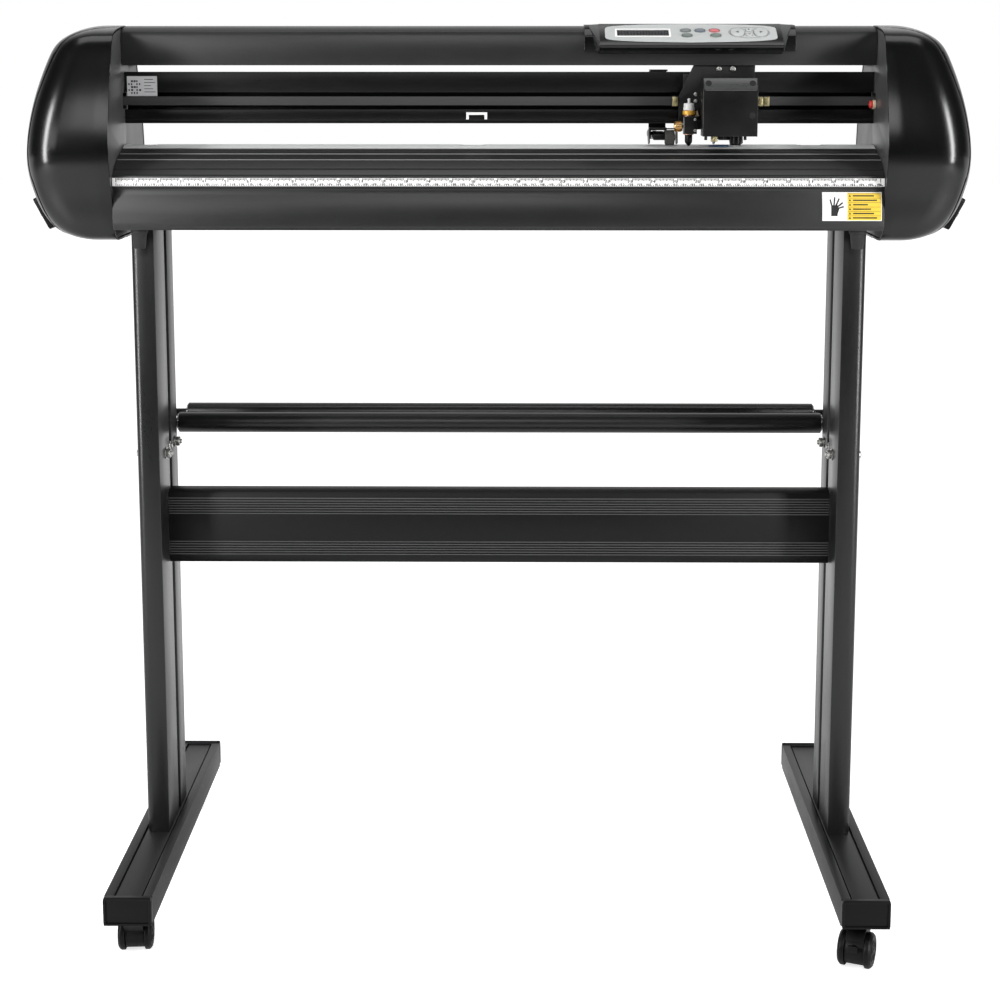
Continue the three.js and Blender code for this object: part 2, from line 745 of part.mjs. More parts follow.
// Housing: a band that wraps the beam's front corner and the sloped console on it.
function panelHousing() {
  const clear = BEAM.front - GAP;
  const under = [[clear, 1029.2], [-13.3, 1035.4], [-5.2, 1039.4], [16, 1041.9]];
  const band = [[clear, 1012], ...under, [16, 1043], [-6, 1041.9], [-15, 1036.3], [-20, 1029], [-20, 1012]];
  const rear = [CONSOLE.y + CONSOLE.run / 2, CONSOLE.z + CONSOLE.rise / 2];
  const front = [CONSOLE.y - CONSOLE.run / 2, CONSOLE.z - CONSOLE.rise / 2];
  const wedge = [...under, [16, 1042.9], rear, front, [-47, 1018.1], [-45.5, 1015.5], [-26, 1009], [clear, 1009]];
  const wrap = alongX(band, [CONSOLE.x - CONSOLE.wrapHalf, CONSOLE.x + CONSOLE.wrapHalf]);
  const console_ = alongX(wedge, [CONSOLE.x - CONSOLE.half, CONSOLE.x + CONSOLE.half]);
  return join(wrap, console_);
}

function keypadPlate() {
  const { half, low, high, base, top } = KEYPAD;
  const keyHoles = KEYS.map(({ halfU, halfV, u, v }) => ellipse(halfU + KEY.clearance, halfV + KEY.clearance, u, v));
  return alongZ(roundedRect([-half, half], [low, high], 9, 3), [base, top], [DISPLAY_WINDOW, ...keyHoles]);
}

function buildPanel() {
  add("panel_housing", panelHousing(), MATERIAL.glossPlastic);
  const face = new THREE.Group();
  face.position.set(CONSOLE.x, CONSOLE.y, CONSOLE.z);
  face.rotation.x = Math.atan2(CONSOLE.rise, CONSOLE.run);
  root.add(face);
  add("keypad_plate", keypadPlate(), MATERIAL.keypad, face);
  for (const { name, u, v, halfU, halfV, material } of KEYS)
    add(name, alongZ(ellipse(halfU, halfV, u, v), [KEY.base, KEY.top]), MATERIAL[material], face);
}

// ---------------------------------------------------------------- head: carriage

// Carriage plate: hangs in front of the rail, with two glide pads and a block for the cover.
function carriagePlate() {
  const sheet = [[229, 1003], [209, 961], [209, 932], [295, 932], [297, 1003]];
  const plate = alongY(sheet, [-12.6, -9.6]);
  const pads = [
    box([214, 292], [-10, RAIL.front - 0.6], [968, 986]),
    box([214, 292], [-10, RAIL.front - 0.6], [933, 943]),
  ];
  const block = box([240, 290], [CARRIAGE.back + 0.5, -12], [934, 978]);
  const clamps = [[201, 208], [300, 314]].map(([x0, x1]) => box([x0, x1], [-12.6, -9.6], [949, 961]));
  const arms = [box([204, 216], [-12.6, -9.6], [952, 958]), box([290, 304], [-12.6, -9.6], [952, 958])];
  return join(plate, ...pads, block, ...clamps, ...arms);
}

// Cover: a box open at the back, bevelled along its top front edge, with a slot for the tool slider.
function carriageCover() {
  const { left, right, low, high, front, back } = CARRIAGE;
  const wall = 2.2;
  const shell = alongX([[front, low], [back, low], [back, high], [front + 8, high], [front, high - 13]], [left, right]);
  const inside = alongX(
    [
      [front + wall, low + wall],
      [back + 1, low + wall],
      [back + 1, high - wall],
      [front + 9, high - wall],
      [front + wall, high - 14],
    ],
    [left + wall, right - wall],
  );
  const slot = box([left - 1, left + wall + 1], [TOOL.y - 5.6, back + 1], [TOOL.clampLow - 4, TOOL.clampHigh + 1]);
  return cut(shell, inside, slot);
}

// Tool slider: the clamp round the blade holder and the arm that reaches into the cover.
function toolSlider() {
  const { x, y, clampLow, clampHigh, knobZ } = TOOL;
  const clamp = box([213.5, 228.5], [y - 7.5, y + 6], [clampLow, clampHigh]);
  const arm = box([228, 244], [y - 4, y + 4], [clampLow + 2 + TOOL.travel, clampHigh - 4]);
  const bore = rod("z", 4.8, [clampLow - 1, clampHigh + 1], [x, y], 20);
  const screwHole = rod("x", 2.4, [212, 216], [y, knobZ], 12);
  return cut(join(clamp, arm), bore, screwHole);
}

// Blade holder: barrel with a nose, a ring and a pinned depth cap.
function bladeHolder() {
  const profile = [
    [0, 903.6],
    [1.2, 904],
    [3.5, 907],
    [3.5, 916],
    [4.4, 917],
    [4.4, 939.5],
    [6.2, 940.3],
    [6.2, 944.6],
    [5.6, 945.5],
    [5.6, 952.5],
    [1.6, 953.2],
    [1.2, 958.4],
    [0, 958.6],
  ];
  return turned("z", profile, [TOOL.x, TOOL.y], 20);
}

function clampKnob() {
  const profile = [
    [0, 202.8],
    [5, 202.8],
    [5.7, 203.8],
    [5.7, 211.4],
    [5, 212.4],
    [2, 212.4],
    [2, 214.6],
    [0, 214.6],
  ];
  return turned("x", profile, [TOOL.y, TOOL.knobZ], 20);
}

function buildCarriage() {
  add("carriage_plate", carriagePlate(), MATERIAL.blackMetal);
  add("carriage_cover", carriageCover(), MATERIAL.blackPlastic);
  add("tool_slider", toolSlider(), MATERIAL.blackMetal);
  add("blade_holder", bladeHolder(), MATERIAL.whitePlastic);
  add("clamp_knob", clampKnob(), MATERIAL.brass);
}

// ---------------------------------------------------------------- head: pinch rollers, drawn round X = 0

// Bracket: hooks over the rail from behind and carries the arm's pivot between two cheeks.
function pinchBracket() {
  const hook = [
    [-2, RAIL.high + 0.5],
    [RAIL.back + 0.6, RAIL.high + 0.5],
    [RAIL.back + 0.6, 924],
    [-1, 924],
    [-1, 921],
    [22, 921],
    [22, RAIL.high + 2.7],
    [-2, RAIL.high + 2.7],
  ];
  const cheek = [[2, 923], [4, 911], [20, 911], [22, 923]];
  const cheeks = [[-10, -8], [8, 10]].map((span) => alongX(cheek, span));
  const pin = rod("x", 2, [-9, 9], [PINCH.pivotY, PINCH.pivotZ], 12);
  return join(alongX(hook, [-10, 10]), ...cheeks, pin);
}

// Arm: swings on the bracket's pin, with the wheel's axle at its front and a lifting lever behind.
function pinchArm() {
  const { pivotY, pivotZ, wheelY, wheelZ } = PINCH;
  const bar = alongX(
    [
      [wheelY - 3.5, wheelZ - 3],
      [pivotY - 4, pivotZ - 4.5],
      [pivotY + 6, pivotZ - 4.5],
      [46, 909],
      [46, 913],
      [pivotY + 6, pivotZ + 2.6],
      [pivotY - 4, pivotZ + 2.6],
      [wheelY - 3.5, wheelZ + 3.5],
    ],
    [-6.5, 6.5],
  );
  const axle = rod("x", 2.2, [5, 17.6], [wheelY, wheelZ], 14);
  return cut(join(bar, axle), rod("x", 2.5, [-10, 10], [pivotY, pivotZ], 14));
}

// Rubber wheel on the arm's axle.
function pinchWheel() {
  const { wheelR, wheelWidth, wheelY, wheelZ } = PINCH;
  const bore = 2.6;
  const from = 7;
  const to = from + wheelWidth;
  const profile = [
    [bore, from],
    [wheelR - 0.8, from],
    [wheelR, from + 0.8],
    [wheelR, to - 0.8],
    [wheelR - 0.8, to],
    [bore, to],
    [bore, from],
  ];
  return turned("x", profile, [wheelY, wheelZ], 24);
}

const PINCH_X = { left: 186.5, right: 262 };

function buildPinchRollers() {
  for (const [side, x] of Object.entries(PINCH_X)) {
    const set = new THREE.Group();
    set.position.x = x;
    root.add(set);
    add(`pinch_bracket_${side}`, pinchBracket(), MATERIAL.blackMetal, set);
    add(`pinch_arm_${side}`, pinchArm(), MATERIAL.blackMetal, set);
    add(`pinch_wheel_${side}`, pinchWheel(), MATERIAL.rubber, set);
  }
}

// ---------------------------------------------------------------- head: power

// Mains inlet: a rimmed body with an open socket.
function powerInlet() {
  const { y, halfY, halfZ, deep } = INLET;
  const body = box([-deep, 0], [y - halfY + GAP, y + halfY - GAP], [-halfZ + GAP, halfZ - GAP]);
  const rim = box([GAP, 2], [y - halfY - 1.5, y + halfY + 1.5], [-halfZ - 1.5, halfZ + 1.5]);
  const neck = box([-1, 1], [y - halfY + GAP, y + halfY - GAP], [-halfZ + GAP, halfZ - GAP]);
  const socket = box([-16, 5], [y - 13.5, y + 13.5], [-10, 10]);
  return ontoPort(cut(join(body, neck, rim), socket));
}

// Rocker of the power switch, tipped to one side.
function powerSwitch() {
  const half = SWITCH.halfY - 1.4;
  const rocker = alongZ([[-6, -half], [-1, -half], [0.6, 0], [-1, half], [-6, half]], [-SWITCH.halfZ + 1, SWITCH.halfZ - 1]);
  return ontoPort(rocker.rotateZ(THREE.MathUtils.degToRad(8)).translate(0, SWITCH.y, 0));
}

function buildPower() {
  addMirrored("power_inlet", powerInlet(), MATERIAL.blackPlastic);
  addMirrored("power_switch", powerSwitch(), MATERIAL.blackPlastic);
}

buildStand();
buildCasters();
buildHeadFrame();
buildDrive();
buildPanel();
buildCarriage();
buildPinchRollers();
buildPower();

export default root;
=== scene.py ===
import math

import bmesh
import bpy
from mathutils import Matrix, Vector


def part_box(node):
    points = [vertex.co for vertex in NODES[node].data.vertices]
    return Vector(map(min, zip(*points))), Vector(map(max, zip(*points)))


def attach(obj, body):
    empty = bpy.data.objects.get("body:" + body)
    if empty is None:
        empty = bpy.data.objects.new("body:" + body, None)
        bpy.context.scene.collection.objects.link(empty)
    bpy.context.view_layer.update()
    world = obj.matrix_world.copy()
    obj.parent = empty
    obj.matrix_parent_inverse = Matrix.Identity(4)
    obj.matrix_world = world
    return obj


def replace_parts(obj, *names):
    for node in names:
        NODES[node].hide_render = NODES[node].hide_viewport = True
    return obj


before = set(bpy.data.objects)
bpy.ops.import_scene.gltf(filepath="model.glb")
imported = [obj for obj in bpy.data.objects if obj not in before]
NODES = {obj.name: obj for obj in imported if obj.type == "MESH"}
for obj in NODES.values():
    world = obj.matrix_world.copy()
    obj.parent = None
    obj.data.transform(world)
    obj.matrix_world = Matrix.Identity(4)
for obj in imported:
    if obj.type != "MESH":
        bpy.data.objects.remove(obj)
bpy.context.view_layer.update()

MM = 0.001


def span(node, axis):
    low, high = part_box(node)
    return low[axis] / MM, high[axis] / MM


# ---- materials

def feed(tree, node, inputs):
    """Sets a node's inputs. Each is a value, or the socket that the input is linked from."""
    for name, value in inputs.items():
        if isinstance(value, bpy.types.NodeSocket):
            tree.links.new(value, node.inputs[name])
        else:
            node.inputs[name].default_value = value


def add_node(tree, kind, output, inputs, **settings):
    """Adds a shader node and returns its output of the given name or number."""
    made = tree.nodes.new("ShaderNode" + kind)
    for name, value in settings.items():
        setattr(made, name, value)
    feed(tree, made, inputs)
    return made.outputs[output]


GRAIN_SHARE = 0.35  # part of the fine grain in the mottling, the rest being slow drift
MOTTLE_LOW, MOTTLE_HIGH = 0.3, 0.7


def finish(name, color, rough, metal=0.0, vary=0.25, patch=9.0, grain=1100.0, relief=0.12, stretch=(1, 1, 1),
           rough_vary=0.1, edge_sheen=0.0, sheen_grey=0.1, coat=0.0, coat_rough=0.1, specular=0.5):
    """A procedural finish: slow colour drift, fine grain in roughness and relief, and edges lightened to a
    grey as a painted edge highlight.
    """
    made = bpy.data.materials.new(name)
    made.use_nodes = True
    tree = made.node_tree
    place = add_node(tree, "TexCoord", "Object", {})
    scaled = add_node(tree, "Mapping", "Vector", {"Scale": stretch, "Vector": place})
    drift = add_node(tree, "TexNoise", "Fac", {"Scale": patch, "Detail": 5, "Roughness": 0.6,
                                               "Vector": scaled})
    grains = add_node(tree, "TexNoise", "Fac", {"Scale": grain, "Detail": 2, "Vector": scaled})
    part = add_node(tree, "Math", 0, {0: grains, 1: GRAIN_SHARE}, operation="MULTIPLY")
    mottle = add_node(tree, "Math", 0, {0: drift, 1: 1 - GRAIN_SHARE, 2: part}, operation="MULTIPLY_ADD")

    base = add_node(tree, "ValToRGB", "Color", {"Fac": mottle})
    ends = base.node.color_ramp.elements
    for end, at, share in zip(ends, (MOTTLE_LOW, MOTTLE_HIGH), (1 - vary, 1 + vary)):
        end.position = at
        end.color = (*[c * share for c in color], 1)
    gloss = add_node(tree, "MapRange", "Result", {
        "Value": mottle, "From Min": MOTTLE_LOW, "From Max": MOTTLE_HIGH,
        "To Min": max(0.02, rough - rough_vary), "To Max": min(1.0, rough + rough_vary)})

    # Painted highlight: edges found by the Bevel normal are lightened towards a grey, mottled by the drift,
    # in place of light catching rounded edges.
    if edge_sheen:
        soft = add_node(tree, "Bevel", "Normal", {"Radius": 0.0012}, samples=4)
        plain = add_node(tree, "NewGeometry", "Normal", {})
        dot = add_node(tree, "VectorMath", "Value", {0: soft, 1: plain}, operation="DOT_PRODUCT")
        edge = add_node(tree, "MapRange", "Result", {"Value": dot, "From Min": 0.995, "From Max": 0.93,
                                                     "To Min": 0.0, "To Max": edge_sheen})
        sheen_mask = add_node(tree, "Math", 0, {0: edge, 1: drift}, operation="MULTIPLY")
        base = add_node(tree, "Mix", "Result", {"Factor": sheen_mask, "A": base, "B": (sheen_grey, sheen_grey, sheen_grey, 1)},
                        data_type="RGBA")

    bump = add_node(tree, "Bump", "Normal", {"Strength": relief, "Distance": 0.0004, "Height": grains})
    feed(tree, tree.nodes["Principled BSDF"], {
        "Metallic": metal, "Coat Weight": coat, "Coat Roughness": coat_rough, "Specular IOR Level": specular,
        "Base Color": base, "Roughness": gloss, "Normal": bump})
    return made


LONG = (0.06, 1, 1)  # grain drawn out along X

LOOK = {
    "post": finish("coat_post", (0.0075, 0.0075, 0.008), 0.36, specular=0.4, coat=0.2, coat_rough=0.28,
                   patch=16, grain=1500, stretch=(1, 1, 0.25), relief=0.1, edge_sheen=0.5, sheen_grey=0.12),
    "foot": finish("coat_foot", (0.0105, 0.0105, 0.011), 0.42, patch=14, grain=1500, stretch=(1, 0.25, 1),
                   relief=0.1, edge_sheen=0.5, sheen_grey=0.13),
    "panel": finish("coat_panel", (0.004, 0.0041, 0.0043), 0.45, specular=0.26, patch=12, grain=1500,
                    stretch=(0.3, 1, 1), edge_sheen=0.4),
    "tube": finish("coat_tube", (0.008, 0.008, 0.0085), 0.3, patch=10, stretch=LONG, relief=0.05),
    "plate": finish("coat_plate", (0.11, 0.11, 0.112), 0.36, metal=0.5, patch=12, grain=1300, relief=0.08),
    "head": finish("coat_head", (0.0125, 0.0126, 0.013), 0.36, grain=1300, stretch=(0.3, 1, 1), relief=0.08,
                   edge_sheen=0.5, sheen_grey=0.14),
    "rail": finish("anodised_rail", (0.0018, 0.0018, 0.002), 0.34, specular=0.3, patch=20, stretch=LONG,
                   relief=0.04, edge_sheen=0.3, sheen_grey=0.12),
    "cap": finish("moulded_cap", (0.0025, 0.0025, 0.0027), 0.4, specular=0.2, grain=1800, relief=0.2,
                  edge_sheen=0.25, sheen_grey=0.06),
    "cheek": finish("cheek_plastic", (0.03, 0.031, 0.032), 0.22, vary=0.15, patch=60, grain=2400,
                    relief=0.03),
    "gloss": finish("gloss_cover", (0.0026, 0.0027, 0.0029), 0.2, patch=7, grain=2400, relief=0.03,
                    rough_vary=0.03, vary=0.18),
    "carriage": finish("satin_carriage", (0.004, 0.0042, 0.004), 0.36, specular=0.35, patch=30, grain=2000,
                       relief=0.06, edge_sheen=0.5),
    "rubber": finish("grey_rubber", (0.055, 0.053, 0.05), 0.75, patch=160, grain=2600, relief=0.3),
    "black_rubber": finish("black_rubber", (0.012, 0.012, 0.012), 0.7, patch=90, grain=2200, relief=0.25),
    "steel": finish("bright_steel", (0.56, 0.56, 0.55), 0.26, metal=1.0, vary=0.12, patch=120, stretch=LONG,
                    relief=0.06),
    "zinc": finish("zinc_plate", (0.5, 0.5, 0.48), 0.34, metal=1.0, vary=0.2, patch=260, relief=0.08),
    "motor": finish("motor_body", (0.02, 0.02, 0.02), 0.4, patch=60, relief=0.15, edge_sheen=0.6, sheen_grey=0.4),
    "brass": finish("turned_brass", (0.72, 0.46, 0.2), 0.3, metal=1.0, vary=0.15, patch=220, relief=0.08),
    "pale_brass": finish("pressed_brass", (0.42, 0.37, 0.2), 0.38, metal=1.0, vary=0.2, patch=260),
    "belt": finish("belt_rubber", (0.028, 0.028, 0.029), 0.62, patch=60, stretch=LONG, relief=0.15),
    "film": finish("keypad_film", (0.5, 0.52, 0.515), 0.32, vary=0.05, patch=60, grain=3200, relief=0.04,
                   rough_vary=0.05),
    "holder": finish("white_cap", (0.74, 0.74, 0.72), 0.35, vary=0.05, patch=200, relief=0.05),
    "board": finish("green_board", (0.01, 0.09, 0.035), 0.35, vary=0.3, patch=150, relief=0.2),
    # Light grey of the cutting strip; on the platen's crest the same grey is painted reflection.
    "strip_and_crest_sheen": finish("grey_strip_and_crest_sheen", (0.62, 0.63, 0.63), 0.34, vary=0.08, patch=24, stretch=LONG, relief=0.05),
    # Painted highlight: light grey lines laid along edges where light catches them.
    "edge_highlight": finish("painted_edge_highlight", (0.2, 0.2, 0.2), 0.35, vary=0.2, patch=24, stretch=LONG, relief=0.05),
    "bevel_band": finish("lighter_bevel_grey", (0.045, 0.046, 0.046), 0.3, vary=0.12, patch=90, stretch=LONG,
                         relief=0.06),
    # Painted highlight: lighter grey for the panel's lands and bead where light catches them.
    "rib_highlight": finish("rib_highlight_grey", (0.06, 0.06, 0.062), 0.34, vary=0.25, patch=40, stretch=LONG, relief=0.08),
    "paper": finish("white_film", (0.92, 0.92, 0.91), 0.4, vary=0.04, patch=40, relief=0.03),
    "ink": finish("black_ink", (0.012, 0.012, 0.012), 0.5, vary=0.3, patch=400, relief=0.05),
    "gold": finish("gold_ring", (0.78, 0.42, 0.06), 0.35, metal=0.35, vary=0.12, patch=220, relief=0.05),
    "fine_print": finish("fine_print", (0.09, 0.09, 0.09), 0.5, vary=0.2, patch=400, relief=0.05),
    "glass": finish("display_glass", (0.004, 0.004, 0.006), 0.12, vary=0.2, patch=80, relief=0.01,
                    rough_vary=0.04),
    "cells": finish("display_cells", (0.014, 0.015, 0.02), 0.3, vary=0.2, patch=300, relief=0.02),
    "silver": finish("silver_label", (0.56, 0.56, 0.57), 0.34, vary=0.07, patch=60, relief=0.04),
    "yellow": finish("yellow_label", (0.83, 0.58, 0.06), 0.4, vary=0.05, patch=60, relief=0.03),
    "red": finish("red_plastic", (0.55, 0.04, 0.03), 0.36, vary=0.15, patch=200, relief=0.06),
    "nylon": finish("nylon", (0.6, 0.5, 0.36), 0.45, vary=0.1, patch=200, relief=0.08),
    "blue": finish("blue_strip", (0.05, 0.11, 0.26), 0.4, vary=0.15, patch=120, relief=0.04),
    # Painted shade: a flat black for the shade inside holes and grooves.
    "painted_shade": finish("painted_shade_black", (0.002, 0.002, 0.002), 0.8, vary=0.3, patch=50, relief=0.1),
    "copper": finish("copper_washer", (0.55, 0.32, 0.2), 0.36, metal=1.0, vary=0.2, patch=300, relief=0.08),
}
for key, color in (("key_grey", (0.2, 0.22, 0.225)), ("key_blue", (0.16, 0.19, 0.225)),
                   ("key_red", (0.62, 0.16, 0.17)), ("key_green", (0.17, 0.21, 0.19))):
    LOOK[key] = finish(key, color, 0.4, vary=0.12, patch=200, relief=0.05)

# ---- CAD nodes: rounded edges, shading, finish

def angle_shading():
    """Geometry nodes that shade smooth, apart from edges sharper than 31 degrees."""
    group = bpy.data.node_groups.new("shade_by_angle", "GeometryNodeTree")
    group.interface.new_socket("Geometry", in_out="INPUT", socket_type="NodeSocketGeometry")
    group.interface.new_socket("Geometry", in_out="OUTPUT", socket_type="NodeSocketGeometry")
    enter, leave = group.nodes.new("NodeGroupInput"), group.nodes.new("NodeGroupOutput")
    angle = group.nodes.new("GeometryNodeInputMeshEdgeAngle")
    small = group.nodes.new("FunctionNodeCompare")
    small.data_type = "FLOAT"
    small.operation = "LESS_EQUAL"
    faces, edges = [group.nodes.new("GeometryNodeSetShadeSmooth") for _ in range(2)]
    faces.domain, edges.domain = "FACE", "EDGE"
    feed(group, small, {"A": angle.outputs["Unsigned Angle"], "B": math.radians(31)})
    feed(group, faces, {"Geometry": enter.outputs[0]})
    feed(group, edges, {"Geometry": faces.outputs[0], "Shade Smooth": small.outputs["Result"]})
    feed(group, leave, {0: edges.outputs[0]})
    return group


SHADING = angle_shading()


def round_edges(obj, width, segments=2, angle=31):
    """Bevels the edges sharper than an angle, unless the width is 0, and shades by angle, in modifiers."""
    if width:
        edge = obj.modifiers.new("edge", "BEVEL")
        edge.width = width * MM
        edge.segments = segments
        edge.limit_method = "ANGLE"
        edge.angle_limit = math.radians(angle)
    obj.modifiers.new("shade", "NODES").node_group = SHADING


def dress(names, look, width=0.5, segments=2, angle=31):
    """Gives CAD nodes their finish, merges their split corners and flat triangles, and rounds their edges."""
    for name in names:
        obj = NODES[name]
        kept = obj.data.attributes.get("custom_normal")
        if kept:
            obj.data.attributes.remove(kept)
        obj.data.materials.clear()
        obj.data.materials.append(LOOK[look])
        weld = obj.modifiers.new("weld", "WELD")
        weld.merge_threshold = 1e-6
        flat = obj.modifiers.new("flat", "DECIMATE")
        flat.decimate_type = "DISSOLVE"
        flat.angle_limit = math.radians(0.4)
        round_edges(obj, width, segments, angle)


SIDES = ("left", "right")
POST_X, CASTER_Y = 410, 217  # middle of the posts and feet, and of the casters' stems
CORNERS = ("front_left", "front_right", "rear_left", "rear_right")

for s in SIDES:
    dress([f"foot_beam_{s}"], "foot", 0.8)
    dress([f"foot_cap_front_{s}", f"foot_cap_rear_{s}"], "cap", 1.0, 3)
    dress([f"post_{s}"], "post", 0.9)
    dress([f"roller_bracket_{s}"], "post")
    dress([f"side_plate_{s}"], "plate")
    dress([f"pinch_bracket_{s}", f"pinch_arm_{s}"], "carriage")
    dress([f"pinch_wheel_{s}"], "rubber", 0.6, 3)
for corner in CORNERS:
    dress([f"caster_hood_{corner}"], "cap", 0.8, 3)
    dress([f"caster_wheels_{corner}"], "cap", 0.8, 3, 40)
dress(["cross_panel"], "panel", 0.35)
dress(["roller_tube_front", "roller_tube_rear"], "tube", 0.6)
dress(["top_beam"], "head", 0.6)
dress(["guide_rail"], "rail")
dress(["platen"], "head", 0.35)
dress(["drive_belt"], "belt", 0.15)
dress(["drive_pulley", "idler_pulley", "grit_shaft"], "steel", 0.3)
dress(["carriage_motor", "feed_motor"], "motor", 0.8)
dress(["feed_pinion", "clamp_knob"], "brass", 0.3)
dress(["main_board"], "board", 0.3)
dress(["panel_housing"], "gloss", 1.0, 3)
dress(["keypad_plate"], "film", 0.25)
dress(["carriage_plate"], "carriage")
dress(["carriage_cover"], "carriage", 1.6, 4)
dress(["tool_slider"], "carriage", 0.6)
dress(["blade_holder"], "holder", 0.3)
dress(["power_inlet", "power_switch"], "cap")
dress(["key_reset"], "key_grey", 0.4)
dress(["key_test"], "key_blue", 0.4)
dress(["key_stop"], "key_red", 0.4)
dress(["key_menu", "key_enter"], "key_green", 0.4)
dress(["key_left", "key_right", "key_up", "key_down"], "film", 0.4)

# ---- mesh code for the new pieces

AXES = {"x": 0, "y": 1, "z": 2}


def put(axis, along, u, v):
    """A point from its place along an axis and its two other coordinates, in XYZ order."""
    rest = [u, v]
    return [along if i == AXES[axis] else rest.pop(0) for i in range(3)]


def prism(axis, outline, ends):
    """A closed prism of an outline, given in the two other axes in XYZ order."""
    count = len(outline)
    verts = [put(axis, end, u, v) for end in ends for u, v in outline]
    faces = [list(range(count))[::-1], list(range(count, 2 * count))]
    faces += [[i, (i + 1) % count, count + (i + 1) % count, count + i] for i in range(count)]
    return verts, faces


def rectangle(u, v):
    return [(u[0], v[0]), (u[1], v[0]), (u[1], v[1]), (u[0], v[1])]


def block(x, y, z):
    return prism("z", rectangle(x, y), z)


def turned(axis, profile, centre, sides=32):
    """A turned body from (radius, along) points. A radius of 0 closes an end."""
    verts, faces, rings = [], [], []
    for radius, along in profile:
        if radius == 0:
            rings.append([len(verts)])
            verts.append(put(axis, along, *centre))
            continue
        rings.append(list(range(len(verts), len(verts) + sides)))
        for i in range(sides):
            a = 2 * math.pi * i / sides
            verts.append(put(axis, along, centre[0] + radius * math.cos(a), centre[1] + radius * math.sin(a)))
    for one, two in zip(rings, rings[1:]):
        for i in range(sides):
            j = (i + 1) % sides
            a = [one[0]] if len(one) == 1 else [one[i], one[j]]
            b = [two[0]] if len(two) == 1 else [two[j], two[i]]
            if len(a) + len(b) > 2:
                faces.append(a + b)
    return verts, faces


def rounded(u, v, radius, steps=4):
    corners = [(u[1] - radius, v[1] - radius), (u[0] + radius, v[1] - radius), (u[0] + radius, v[0] + radius),
               (u[1] - radius, v[0] + radius)]
    points = []
    for quarter, (cu, cv) in enumerate(corners):
        for i in range(steps + 1):
            a = math.pi / 2 * (quarter + i / steps)
            points.append((cu + radius * math.cos(a), cv + radius * math.sin(a)))
    return points


def oval(half_u, half_v, u=0.0, v=0.0, sides=32):
    return [(u + half_u * math.cos(2 * math.pi * i / sides), v + half_v * math.sin(2 * math.pi * i / sides))
            for i in range(sides)]


def ring_outline(outer, inner, axis, ends):
    """A flat ring between two outlines with the same number of points."""
    count = len(outer)
    verts = [put(axis, end, u, v) for end in ends for line in (outer, inner) for u, v in line]
    faces = []
    for i in range(count):
        j = (i + 1) % count
        low_out, low_in, high_out, high_in = 0, count, 2 * count, 3 * count
        faces += [[low_out + i, low_out + j, high_out + j, high_out + i],
                  [low_in + j, low_in + i, high_in + i, high_in + j],
                  [high_out + i, high_out + j, high_in + j, high_in + i],
                  [low_out + j, low_out + i, low_in + i, low_in + j]]
    return verts, faces


def moved(part, matrix):
    verts, faces = part
    return [list(matrix @ Vector(v)) for v in verts], faces


def flipped(part):
    """The same body on the other side of the X = 0 plane."""
    verts, faces = part
    return [[-x, y, z] for x, y, z in verts], [f[::-1] for f in faces]


def sided(part, side):
    return flipped(part) if side == "left" else part


def mesh_of(name, parts):
    """A mesh of closed bodies given in millimetres, with the faces turned outwards."""
    verts, faces = [], []
    for part_verts, part_faces in parts:
        faces += [[i + len(verts) for i in f] for f in part_faces]
        verts += [[c * MM for c in v] for v in part_verts]
    mesh = bpy.data.meshes.new(name)
    mesh.from_pydata(verts, [], faces)
    shape = bmesh.new()
    shape.from_mesh(mesh)
    bmesh.ops.recalc_face_normals(shape, faces=shape.faces)
    shape.to_mesh(mesh)
    shape.free()
    return mesh


def add_object(name, data):
    obj = bpy.data.objects.new(name, data)
    bpy.context.scene.collection.objects.link(obj)
    return obj


def piece(name, parts, body, look, bevel=0.3, segments=2, angle=31, replaces=(), holes=()):
    """One visible piece made of one or more closed bodies, with holes cut first, riding on a CAD body."""
    obj = add_object(name, mesh_of(name, parts))
    obj.data.materials.append(LOOK[look])
    if holes:
        carve(obj, holes)
    round_edges(obj, bevel, segments, angle)
    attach(obj, body)
    if replaces:
        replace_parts(obj, *replaces)
    return obj


def carve(obj, holes):
    """Cuts closed bodies out of an object and keeps the result as its mesh."""
    mesh = mesh_of("holes", holes)
    tool = add_object("holes", mesh)
    cutting = obj.modifiers.new("holes", "BOOLEAN")
    cutting.operation = "DIFFERENCE"
    cutting.solver = "EXACT"
    cutting.object = tool
    bpy.context.view_layer.update()
    made = bpy.data.meshes.new_from_object(obj.evaluated_get(bpy.context.evaluated_depsgraph_get()))
    old = obj.data
    obj.modifiers.clear()
    obj.data = made
    made.name = old.name
    bpy.data.meshes.remove(old)
    bpy.data.objects.remove(tool)
    bpy.data.meshes.remove(mesh)


def rod(axis, centre, ends, radius, sides=32):
    return turned(axis, [(0, ends[0]), (radius, ends[0]), (radius, ends[1]), (0, ends[1])], centre, sides)


def washer(axis, centre, ends, bore, radius, sides=28):
    a, b = ends
    return turned(axis, [(bore, a), (radius, a), (radius, b), (bore, b), (bore, a)], centre, sides)


def hex_nut(axis, centre, ends, across, bore):
    """A chamfered hexagon nut with its hole."""
    a, b = ends
    r = across / math.sqrt(3)
    chamfer = 0.12 * across
    profile = [(bore, a), (r - chamfer, a), (r, a + chamfer / 2), (r, b - chamfer / 2), (r - chamfer, b),
               (bore, b), (bore, a)]
    return turned(axis, profile, centre, 6)


def screw_head(shape, axis, centre, base, out, radius, sides):
    """A turned head from shares of its radius and height. It stands out along an axis, and out is signed."""
    return turned(axis, [(share * radius, base + rise * out) for share, rise in shape], centre, sides)


